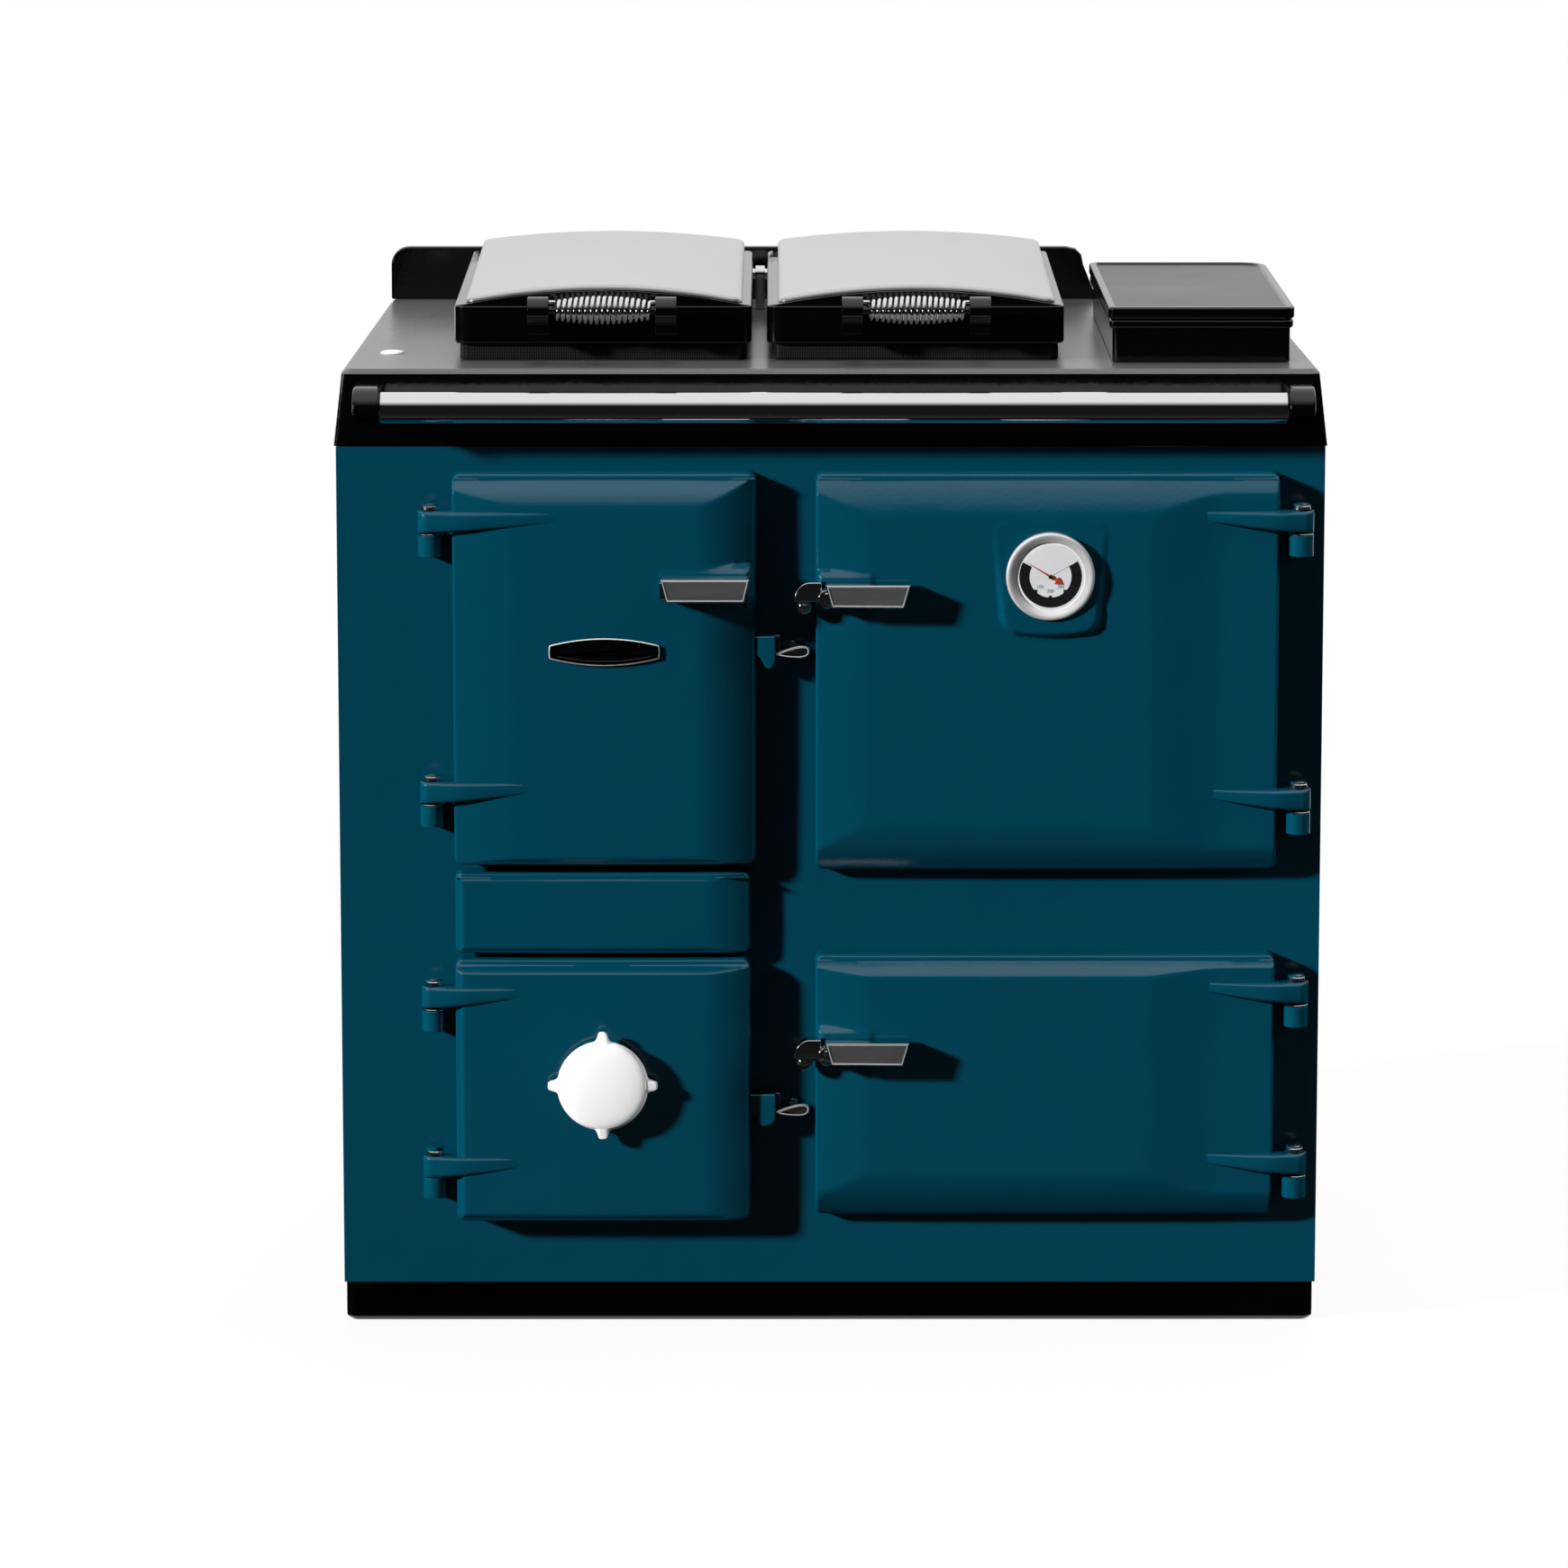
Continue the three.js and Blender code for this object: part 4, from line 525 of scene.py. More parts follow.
# A flank is its level margin, its reach, its depth and its curve, for the
# left, right, lower and upper side of a door.
thin_flank = (3.0, 9.0, 4.0, 1.6)
handle_pad = (-160.0, -69.0, 680.0, 717.0, 38.4, 8.0, 8.0, 7.0)
oven_left, oven_right = (3.0, 56.0, 6.5, 1.5), (44.0, 132.0, 6.5, "sway")
door_casting(
    "firebox_door",
    [lambda x, z: raised_pad(x, z, *handle_pad)],
    [(3.0, 74.0, 6.0, 1.9), (3.0, 60.0, 13.8, 1.9), thin_flank, (5.5, 33.0, 12.4, 1.6)],
)
door_casting(
    "ashpit_door",
    [],
    [thin_flank, (3.0, 50.0, 9.0, 2.0), thin_flank, (5.5, 12.0, 12.0, 1.3)],
    37.8,
)
door_casting(
    "infill_panel",
    [],
    [thin_flank, (3.0, 50.0, 8.0, 2.0), (3.0, 7.0, 3.0, 1.5), (5.5, 9.0, 2.0, 1.5)],
    27.4,
)
door_casting(
    "main_oven_door",
    [gauge_boss, lever_pad(main_lever_z)],
    [oven_left, oven_right, (0.5, 60.0, 19.5, 2.5), (5.5, 42.0, 12.4, 1.5)],
    cell=2.1,
)
door_casting(
    "lower_oven_door",
    [lever_pad(lower_lever_z)],
    [oven_left, oven_right, (0.5, 58.0, 20.5, 2.4), (5.5, 20.0, 12.4, 1.4)],
)


# ---- Hinges ----
# Every door hangs on two tapering arms that are cast with it. Their knuckles
# turn on fixed steel pins with round heads, over a bright washer on each lug.
pin_aside, pin_out = 20.0, 25.0
knuckle_radius, knuckle_half = 11.0, 10.5


def compass(count):
    """The cosine and sine of equal steps round a circle."""
    turns = [2 * math.pi * k / count for k in range(count)]
    return [(math.cos(turn), math.sin(turn)) for turn in turns]


def signed_power(value, power):
    return math.copysign(abs(value) ** power, value)


def lofted(bm, rings):
    """A closed skin over rings of points that all have the same count."""
    loops = []
    for ring in rings:
        verts = [bm.verts.new(p) for p in ring]
        edges = [bm.edges.new((verts[i - 1], verts[i])) for i in range(len(verts))]
        loops.append((verts, edges))
    for (_, first), (_, second) in zip(loops, loops[1:]):
        bmesh.ops.bridge_loops(bm, edges=first + second)
    bm.faces.new(loops[0][0])
    bm.faces.new(loops[-1][0])
    bmesh.ops.recalc_face_normals(bm, faces=bm.faces[:])


def hinge_arm(name, body, pin_x, inward, centre_z, reach, sink):
    """One arm: a round knuckle at the pin that tapers to a blade on the door's face."""
    bm = bmesh.new()
    rings = []
    knuckle_steps, blade_steps = 8, 24
    for step in range(knuckle_steps + blade_steps + 1):
        if step <= knuckle_steps:
            along = -10.9 * math.cos(math.pi / 2 * step / knuckle_steps)
            half_y = math.sqrt(max(0.3, knuckle_radius**2 - along * along))
            front, back, half_z = pin_out + half_y, pin_out - half_y, knuckle_half
        else:
            part = (step - knuckle_steps) / blade_steps
            along = reach * part
            swell = 3.6 * math.sin(math.pi / 2 * min(1.0, part / 0.35))
            front = pin_out + knuckle_radius + swell - sink * part**2.2
            back = pin_out - knuckle_radius + 10.0 * part
            half_z = knuckle_half - 6.0 * part**1.2
        ring = []
        for cosine, sine in compass(24):
            y = (front + back) / 2 + (front - back) / 2 * signed_power(cosine, 0.55)
            z = half_z * signed_power(sine, 0.45) + 0.85 * (knuckle_half - half_z)
            ring.append((pin_x + inward * along, -y, centre_z + z))
        rings.append(ring)
    lofted(bm, rings)
    drawn_piece(name, bm, teal, body, "teal_enamel", (), 60.0)


steel = Finish("polished_steel", Base_Color=(0.62, 0.61, 0.60, 1.0), Metallic=1.0)
steel.set(Roughness=0.16 + steel.noise(900.0, 2.0) * 0.2)
steel.relief(steel.noise(1400.0, 2.0), 0.00006)


def turned(bm, profile, centre, axis, segments=48):
    """A turned part: profile holds (radius, distance along the axis) pairs."""
    axis = Vector(axis)
    side = Vector((1, 0, 0)) if abs(axis.x) < 0.5 else Vector((0, 0, 1))
    centre = Vector(centre)
    verts = [bm.verts.new(centre + side * r + axis * t) for r, t in profile]
    edges = [bm.edges.new(pair) for pair in zip(verts, verts[1:])]
    whole_turn = {"cent": centre, "axis": axis, "angle": 2 * math.pi, "steps": segments}
    bmesh.ops.spin(bm, geom=verts + edges, use_merge=True, **whole_turn)
    bmesh.ops.remove_doubles(bm, verts=bm.verts[:], dist=1e-4)
    bmesh.ops.recalc_face_normals(bm, faces=bm.faces[:])


up, forward = (0, 0, 1), (0, -1, 0)
for door, upper, low_reach, top_reach, sink in [
    ("firebox_door", True, 100.0, 130.0, 3.2),
    ("ashpit_door", False, 88.0, 88.0, 4.0),
    ("main_oven_door", True, 78.0, 86.0, 7.5),
    ("lower_oven_door", False, 80.0, 80.0, 7.5),
]:
    x0, x1, z0, z1 = door_outlines[door]
    left = x0 < -100
    pin_x = x0 - pin_aside if left else x1 + pin_aside
    inward = 1.0 if left else -1.0
    drop, lift = (43.0, 67.0) if upper else (34.0, 51.0)
    bolts = bmesh.new()
    for place, arm_z, reach in (("bottom", z0 + lift, low_reach), ("top", z1 - drop, top_reach)):
        hinge_arm(f"{door}_arm_{place}", door, pin_x, inward, arm_z, reach, sink)
        domed = [(0.0, 6.5), (3.5, 6.2), (6.4, 5.2), (7.9, 3.4), (8.1, 0.4), (0.0, 0.3)]
        turned(bolts, domed, (pin_x, -pin_out, arm_z + knuckle_half), up, 32)
        washer = [(4.2, 0.1), (10.2, 0.1), (10.6, 0.5), (10.6, 1.3), (10.2, 1.7), (4.2, 1.7)]
        washer.append(washer[0])
        turned(bolts, washer, (pin_x, -pin_out, arm_z - 12.5), up, 32)
    drawn_piece(f"{door}_hinge_bolts", bolts, steel, "cooker", "chrome", (), 35.0)


# ---- Door ears and turning catches ----
# A wedge-shaped ear is cast on the free edge of each left-hand door. A small
# chrome tongue on the front plate turns over the ear and holds the door shut.
chrome = Finish("polished_chrome", Base_Color=(0.74, 0.74, 0.745, 1.0), Metallic=1.0)
chrome.set(Roughness=0.05 + chrome.noise(40.0, 4.0) * 0.06)
chrome.relief(chrome.noise(25.0, 2.0), 0.00008)


def slab(bm, outline, axis, start, end):
    """An outline drawn out along y or z; returns the end face and every new edge."""
    corners = [(a, start, b) if axis == "y" else (a, b, start) for a, b in outline]
    face = bm.faces.new([bm.verts.new(c) for c in corners])
    grown = bmesh.ops.extrude_face_region(bm, geom=[face])["geom"]
    moved = [v for v in grown if isinstance(v, bmesh.types.BMVert)]
    shift = (0, end - start, 0) if axis == "y" else (0, 0, end - start)
    bmesh.ops.translate(bm, vec=shift, verts=moved)
    whole = {e for v in moved for e in v.link_edges} | set(face.edges)
    bmesh.ops.recalc_face_normals(bm, faces=bm.faces[:])
    end_face = next(f for f in grown if isinstance(f, bmesh.types.BMFace))
    return end_face, list(whole)


def level(edges, axis):
    """The edges that keep to one place along an axis: 1 is depth, 2 is height."""
    return [e for e in edges if abs(e.verts[0].co[axis] - e.verts[1].co[axis]) < 0.1]


def eased_block(bm, outline, back, front, radius):
    """An outline drawn forward from the plate, with all its edges rounded."""
    _, edges = slab(bm, outline, "y", back, front)
    eased(bm, edges, radius)


def inset(bm, face, width, depth):
    """Draws a face in by a width and a depth; returns the ring that this leaves."""
    return bmesh.ops.inset_region(bm, faces=[face], thickness=width, depth=depth)["faces"]


def front_face(bm):
    """The largest face that looks to the front."""
    return max((f for f in bm.faces if f.normal.y < -0.95), key=lambda f: f.calc_area())


# A pale, half metallic paint for chrome rims and edges: its whiteness is a painted highlight,
# standing in for the light that polished chrome catches.
pale_highlight_paint = Finish("painted_highlight_metal", Metallic=0.6, Base_Color=(0.92, 0.92, 0.92, 1.0))
pale_highlight_paint.set(Roughness=0.3 + pale_highlight_paint.noise(80.0, 3.0) * 0.12)
catch_x = -34.0
for door, catch, catch_z in [
    ("firebox_door", "firebox_catch", 636.0),
    ("ashpit_door", "ashpit_catch", 211.0),
]:
    edge = door_outlines[door][1]
    ear = bmesh.new()
    for back, front, reach in ((-10.0, -21.0, catch_x - 15.5), (-6.0, -13.4, catch_x - 11.0)):
        lower = [(edge - 6.0, -1.0), (edge + 4.0, -6.0), (edge + 8.0, -14.0), (edge + 11.5, -17.0)]
        upper = [(reach - 2.0, -14.0), (reach, -8.0), (reach, 14.0), (edge - 6.0, 14.0)]
        shape = [(x, catch_z + z) for x, z in lower + upper]
        eased_block(ear, shape, back, front, 1.8)
    drawn_piece(door + "_ear", ear, teal, door, "teal_enamel", (), 35.0)

    tongue = bmesh.new()
    shape = []
    for cosine, sine in compass(40):
        x = 15.3 * signed_power(cosine, 0.8)
        fullness = 2.7 + 4.8 * (x + 15.3) / 30.6
        z = fullness * signed_power(sine, 0.8)
        shape.append((catch_x + x, catch_z + z + 0.1 * x - 0.5))
    _, edges = slab(tongue, shape, "y", -14.2, -25.2)
    eased(tongue, level(edges, 1), 1.2)
    face = front_face(tongue)
    # The ring round the tongue's face takes the pale paint: a painted highlight along its edge.
    ring = inset(tongue, face, 0.9, 0.0)
    inset(tongue, face, 0.5, -0.5)
    for part in ring:
        part.material_index = 1
    stem = [(0.0, 0.0), (5.0, 0.0), (5.0, 14.5), (0.0, 14.5)]
    turned(tongue, stem, (catch_x, -0.4, catch_z), forward)
    rivet = [(4.2, 14.0), (4.2, 18.0), (3.4, 19.4), (0.0, 20.0)]
    turned(tongue, rivet, (catch_x, 0.0, catch_z + 6.0), forward, 24)
    drawn_piece(catch + "_tongue", tongue, [chrome, pale_highlight_paint], catch, "chrome", (catch,), 50.0)


# ---- Oven levers and their keeps ----
# Each oven door has a chromed lever: a bevelled grip with a brushed face, a
# boss on the pivot, and a hook that drops over a ball stud on the front plate.
brushed_with_painted_streaks = Finish("brushed_chrome_painted_streaks", Metallic=0.9)
grain = brushed_with_painted_streaks.noise(60.0, 5.0, (1.0, 30.0, 30.0), 0.7)
# Broad streaks from dark to pale in the base colour are painted reflection and shade on the grip's
# face; the fine grain is the brushing.
painted_streaks = brushed_with_painted_streaks.noise(9.0, 2.0, (1.0, 0.1, 4.0))
brushed_with_painted_streaks.shades(painted_streaks * 0.6 + grain * 0.4, (0.14, 0.14, 0.142), (0.78, 0.78, 0.785))
brushed_with_painted_streaks.set(Roughness=0.26 + grain * 0.2)
brushed_with_painted_streaks.relief(grain, 0.00005)


def framed_grip(bm, outline, back, front):
    """A flat grip with eased edges, a border in pale paint as a painted highlight, and a face set a
    little lower.
    """
    eased_block(bm, outline, back, front, 1.2)
    face = front_face(bm)
    ring = inset(bm, face, 1.2, 0.0)
    inset(bm, face, 0.5, -0.7)
    for part in ring:
        part.material_index = 2
    face.material_index = 1


def rectangle(x0, x1, z0, z1):
    return [(x0, z0), (x1, z0), (x1, z1), (x0, z1)]


for door, node, lever_z in [
    ("main_oven_door", "main_oven_handle", main_lever_z),
    ("lower_oven_door", "lower_oven_handle", lower_lever_z),
]:
    pivot = door_outlines[door][0] + 10.0
    lever = bmesh.new()
    corners = [(4.0, -7.6), (69.5, -8.2), (75.5, 13.0), (-1.5, 13.0)]
    grip = [(pivot + x, lever_z + z) for x, z in corners]
    framed_grip(lever, grip, -42.0, -63.8)
    neck = rectangle(pivot - 2.0, pivot + 12.0, lever_z - 6.0, lever_z + 6.0)
    eased_block(lever, neck, -51.5, -61.5, 1.5)
    boss = [(0.0, -39.9), (8.2, -39.9), (9.0, -40.7), (9.0, -58.0), (7.6, -60.0), (0.0, -60.4)]
    turned(lever, boss, (pivot, 0.0, lever_z), (0, 1, 0))
    hook = [(pivot - 5.0, lever_z - 3.0), (pivot - 5.0, lever_z + 14.6)]
    for k in range(11):
        turn = math.pi / 2 * k / 10
        hook.append((pivot - 15.5 - 14.4 * math.sin(turn), lever_z - 3.0 + 17.6 * math.cos(turn)))
    eased_block(lever, hook, -39.9, -56.5, 1.3)
    web = rectangle(pivot - 8.0, pivot + 1.0, lever_z - 5.0, lever_z + 8.0)
    eased_block(lever, web, -40.1, -54.5, 1.0)
    drawn_piece(node + "_lever", lever, [chrome, brushed_with_painted_streaks, pale_highlight_paint], node, "chrome", (node,), 40.0)

    stud = bmesh.new()
    profile = [(0.0, 0.0), (6.8, 0.0), (7.0, 1.0), (6.4, 3.0), (3.6, 3.6), (3.4, 40.0)]
    ball = 7.6
    for k in range(13):
        turn = 0.45 + (math.pi - 0.45) * k / 12
        profile.append((ball * math.sin(turn) if k < 12 else 0.0, 43.8 - ball * math.cos(turn)))
    keep = node.replace("handle", "keep")
    turned(stud, profile, (pivot - 20.5, -0.4, lever_z - 8.7), forward, 40)
    drawn_piece(keep + "_stud", stud, chrome, "cooker", "chrome", (keep,), 40.0)


# ---- Firebox handle and badge ----
# The firebox door is pulled by a fixed chrome grip on two short posts. Below
# it sits a bare black badge in a thin chrome frame.
handle = bmesh.new()
grip = [(-148.6, 687.4), (-78.0, 687.4), (-73.2, 708.4), (-154.0, 708.4)]
framed_grip(handle, grip, -42.4, -66.2)
for post_x in (-154.8, -90.0):
    eased_block(handle, rectangle(post_x, post_x + 12.0, 688.5, 704.5), -38.4, -54.0, 1.5)
plated = [chrome, brushed_with_painted_streaks, pale_highlight_paint]
drawn_piece("firebox_grip", handle, plated, "firebox_door", "chrome", ("firebox_handle",))

black = Finish("black_vitreous_enamel", Coat_Weight=0.3, Coat_Roughness=0.06)
black.shades(black.noise(7.0, 3.0), (0.0004, 0.0004, 0.0005), (0.0011, 0.0011, 0.0013))
black.set(Roughness=0.1 + black.noise(90.0, 3.0) * 0.08)
black.relief(black.noise(200.0, 1.0) * 0.12 + black.noise(18.0, 1.0) * 0.88, 0.0007)

badge = bmesh.new()
half_length = 50.6
shape = []
for k in range(25):
    x = half_length - 2 * half_length * k / 24
    shape.append((x, 6.6 + 6.6 * (1 - (x / half_length) ** 2)))
shape = [(51.6, -5.0), (51.9, 0.0), (51.6, 5.0)] + shape
shape += [(-51.6, 5.0), (-51.9, 0.0), (-51.6, -5.0)] + [(-x, -z) for x, z in shape[3:]]
shape = [(0.97 * x - 204.7, 0.96 * z + 638.6) for x, z in shape]
face, _ = slab(badge, shape, "y", -37.8, -40.4)
steps = [(0.7, 0.5), (0.3, 0.0), (0.6, -1.2), (2.2, 0.0), (0.25, 0.25), (0.25, -0.25)]
rings = [inset(badge, face, width, depth) for width, depth in steps]
for part in badge.faces:
    part.material_index = 1
# The two outer rings take the pale paint, a painted highlight on the frame's chrome edge; the rest
# is black enamel.
for part in rings[0] + rings[1]:
    part.material_index = 0
drawn_piece("badge_plate", badge, [pale_highlight_paint, black], "firebox_door", "black_enamel", ("badge",), 30.0)


# ---- Spinwheel ----
# The draught wheel on the ashpit door is a polished disc with four small
# finger nubs. Its hub slides on a plain steel stem as the wheel is turned.
# Near-white, barely metallic paint stands in for the polished disc's white reflection: a painted
# reflection.
white_painted_reflection = Finish("spinwheel_painted_reflection", Base_Color=(0.98, 0.98, 0.98, 1.0), Metallic=0.08)
white_painted_reflection.set(Roughness=0.34 + white_painted_reflection.noise(30.0, 4.0) * 0.14)
white_painted_reflection.relief(white_painted_reflection.noise(45.0, 3.0), 0.00025)


def wheel_edge(turn):
    """The wheel's outline: round, with a waisted nub at each quarter."""
    rim, nub, half_tip, half_foot = 41.5, 50.0, 3.4, 9.5
    away = abs((turn + math.pi / 4) % (math.pi / 2) - math.pi / 4) * 45.0
    if away > half_foot:
        return rim
    if away < half_tip:
        return nub - 0.9 * (away / half_tip) ** 4
    return rim + 7.6 * ((half_foot - away) / (half_foot - half_tip)) ** 2.6


wheel_x, wheel_z = -207.5, 240.0
wheel = bmesh.new()
rings = []
profile = [(2.0, 99.0, 46.6), (0.5, 99.0, 47.2), (0.0, 99.0, 49.0), (0.0, 99.0, 51.5)]
profile += [(0.6, 99.0, 53.4), (1.6, 99.0, 54.0), (1.8, 39.8, 55.0), (0.0, 38.5, 56.3)]
profile += [(0.0, 34.0, 57.6), (0.0, 26.0, 58.7), (0.0, 14.0, 59.4), (0.0, 4.0, 59.6)]
for shrink, limit, depth in profile:
    ring = []
    for k in range(240):
        turn = 2 * math.pi * k / 240
        radius = min(wheel_edge(turn) - shrink, limit)
        x, z = wheel_x + radius * math.cos(turn), wheel_z + radius * math.sin(turn)
        ring.append((x, -depth, z))
    rings.append(ring)
lofted(wheel, rings)
drawn_piece("spinwheel_disc", wheel, white_painted_reflection, "spinwheel", "chrome", ("spinwheel",), 50.0)
softened("spinwheel_hub", steel, "sheet_steel", 0.6)


# ---- Thermometer ----
# A round dial gauge in a wide polished bezel: white face, a black band with
# wedge marks, a few plain numbers, and a red needle behind a flat glass.
gauge_sink = 6.5
gauge_centre = (gauge_x, gauge_sink, gauge_z)
at_gauge = PLATE @ Matrix.Translation((0.0, gauge_sink, 0.0))
bezel = bmesh.new()
profile = [(0.0, 40.0), (37.6, 40.0), (37.6, 45.8), (39.6, 46.0), (40.0, 46.8), (40.0, 51.4)]
profile += [(39.6, 52.7), (38.7, 53.5), (37.6, 53.7), (36.4, 53.5), (34.6, 52.7), (32.4, 51.6)]
profile += [(31.4, 51.0), (31.2, 49.4), (0.0, 49.3)]
turned(bezel, profile, gauge_centre, forward, 96)
# The whole bezel takes the pale paint, so its light grey is partly painted reflection on the
# polished ring.
drawn_piece("thermometer_bezel", bezel, pale_highlight_paint, "main_oven_door", "chrome", ("thermometer",), 35.0)

print_white = Finish("dial_white", Roughness=0.5)
print_white.shades(print_white.noise(500.0, 3.0), (0.80, 0.81, 0.82), (0.90, 0.91, 0.92))
print_black = Finish("dial_black", Roughness=0.55)
print_black.shades(print_black.noise(800.0, 2.0), (0.004, 0.004, 0.005), (0.012, 0.012, 0.013))
print_grey = Finish("dial_grey", Roughness=0.55)
print_grey.shades(print_grey.noise(900.0, 2.0), (0.10, 0.10, 0.11), (0.20, 0.20, 0.21))

dial = bmesh.new()
turned(dial, [(0.0, 49.4), (31.3, 49.4), (31.3, 49.9), (0.0, 49.9)], gauge_centre, forward, 96)
drawn_piece("dial_face", dial, print_white, "main_oven_door", "chrome", (), 35.0)


def dial_point(radius, degrees):
    """A point of the dial, from its middle out, by degrees from the right."""
    turn = math.radians(degrees)
    return (gauge_x + radius * math.cos(turn), gauge_z + radius * math.sin(turn))


band = bmesh.new()
outer = [dial_point(28.2, a) for a in range(152, 391, 2)]
inner = [dial_point(19.0, a) for a in range(390, 151, -2)]
for first in range(len(outer) - 1):
    quad = [outer[first], outer[first + 1], inner[-2 - first], inner[-1 - first]]
    slab(band, quad, "y", -49.85, -50.02)
bmesh.ops.remove_doubles(band, verts=band.verts[:], dist=1e-4)
marks = (("100", 225), ("200", 270), ("300", 315))
for _, mark in marks:
    wedge = [dial_point(19.4, mark - 7), dial_point(19.4, mark + 7), dial_point(16.6, mark)]
    slab(band, wedge, "y", -49.85, -50.04)
spur = [(24.0, 29.4), (24.0, 29.9), (3.0, 31.5), (3.0, 27.5)]
slab(band, [dial_point(radius, degrees) for radius, degrees in spur], "y", -49.85, -50.02)
drawn_piece("dial_band", band, print_black, "main_oven_door", "chrome", (), 35.0, at=at_gauge)

for label, degrees in marks:
    curve = bpy.data.curves.new("dial_number", "FONT")
    curve.body = label
    curve.size = 4.3
    curve.align_x = "CENTER"
    curve.align_y = "CENTER"
    curve.extrude = 0.04
    writer = bpy.data.objects.new("dial_number", curve)
    scene.collection.objects.link(writer)
    bpy.context.view_layer.update()
    figures = bmesh.new()
    figures.from_mesh(writer.evaluated_get(bpy.context.evaluated_depsgraph_get()).to_mesh())
    bpy.data.objects.remove(writer)
    x, z = dial_point(13.2, degrees)
    bmesh.ops.remove_doubles(figures, verts=figures.verts[:], dist=1e-4)
    figures.transform(Matrix.Translation((x, -49.96, z)) @ Matrix.Rotation(math.pi / 2, 4, "X"))
    name = "dial_number_" + label
    drawn_piece(name, figures, print_grey, "main_oven_door", "chrome", (), 35.0, at=at_gauge)

red = Finish("pointer_red_paint", Roughness=0.35)
red.shades(red.noise(700.0, 2.0), (0.42, 0.035, 0.015), (0.62, 0.06, 0.025))
brass = Finish("spindle_brass", Metallic=1.0)
brass.shades(brass.noise(900.0, 2.0), (0.45, 0.27, 0.10), (0.62, 0.42, 0.18))
brass.set(Roughness=0.25 + brass.noise(600.0, 2.0) * 0.15)
_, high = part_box("thermometer_pointer")
needle_y = high.y * 1000 - plate_y - 0.15
degrees_read = 149
needle = bmesh.new()
shape = [(25.6, 0.0), (2.0, 0.75), (-6.0, 1.0), (-6.4, 3.6), (-12.8, 0.0)]
shape += [(-6.4, -3.6), (-6.0, -1.0), (2.0, -0.75)]
slab(needle, shape, "y", needle_y, needle_y - 0.7)
needle.transform(Matrix.Rotation(-math.radians(degrees_read), 4, "Y"))
needle.transform(Matrix.Translation((gauge_x, 0.0, gauge_z)))
hub_start = len(needle.faces)
hub = [(0.0, -1.6), (1.7, -1.5), (2.1, -1.0), (2.1, 0.0), (0.0, 0.0)]
turned(needle, hub, (gauge_x, needle_y - 0.2, gauge_z), (0, 1, 0), 24)
for number, part in enumerate(needle.faces):
    part.material_index = int(number >= hub_start)
node = "thermometer_pointer"
drawn_piece("pointer_needle", needle, [red, brass], node, "pointer_red", (node,), 35.0, at=at_gauge)

glass = Finish("gauge_glass", Roughness=0.03, Alpha=0.07, Base_Color=(0.01, 0.012, 0.012, 1.0))
glass.set(Alpha=0.05 + glass.noise(30.0, 2.0) * 0.03)


def sunk_glass(x, y, z):
    """The glass lies deeper with its gauge, and a little under the bezel's lip."""
    return x, y + gauge_sink + 1.6, z


softened("thermometer_glass", glass, "gauge_glass", 0.3, 2, sunk_glass)


# ---- Top plate ----
# The top is a single black casting with a flared skirt and an eased edge.
# Two small round caps close the bolt holes at its front corners.
# The top faces take a grey enamel: its pale base colour is a painted sheen, standing in for the
# light that the black enamel reflects there. Its noise varies that painted sheen and the roughness.
hob_painted_sheen = Finish("hob_enamel_painted_sheen")
wipes_and_painted_sheen = hob_painted_sheen.noise(6.0, 4.0)
hob_painted_sheen.shades(wipes_and_painted_sheen, (0.062, 0.062, 0.063), (0.090, 0.090, 0.091))
hob_painted_sheen.set(Roughness=0.24 + wipes_and_painted_sheen * 0.08)
hob_painted_sheen.relief(hob_painted_sheen.noise(240.0, 1.0), 0.00008)


def tapered_top(x, y, z):
    """The top narrows a little to the back, and its skirt hangs flush with the front plate."""
    if z < 825.0:
        z += skirt_lift
    if z > 860.0:
        return x * (1 - 0.03 * (y + 306.0) / 606.0), y, z
    return x, max(y, plate_y - 0.4), z


top = softened("top_plate", [black, hob_painted_sheen], "black_enamel", 2.6, 3, tapered_top)
# Faces that look up, from the eased edge on, take the painted sheen; the skirt stays black.
above_edge = 0.885
for face in top.data.polygons:
    face.material_index = int(face.normal.z > 0.35 and face.center.z > above_edge)


def shorter_left(x, y, z):
    """The splash-back ends 14 mm short of the top plate's left side."""
    return x + 14.0 if x < 0 else x, y, z


softened("splashback", black, "black_enamel", 2.0, 3, shorter_left)
# The left cap takes the pale highlight paint; the right one is black enamel.
for side, cap_x, cap_y, radius, finish in (
    ("left", -403.0, 128.0, 11.0, pale_highlight_paint),
    ("right", 397.0, 78.0, 13.0, black),
):
    cap = bmesh.new()
    profile = [(0.0, 2.6), (radius * 0.6, 2.4), (radius * 0.9, 1.7), (radius, 0.4)]
    turned(cap, profile + [(radius, -0.6), (0.0, -0.6)], (cap_x, cap_y, 891.0), up)
    drawn_piece(f"bolt_cap_{side}", cap, finish, "cooker", "black_enamel", (), 30.0)


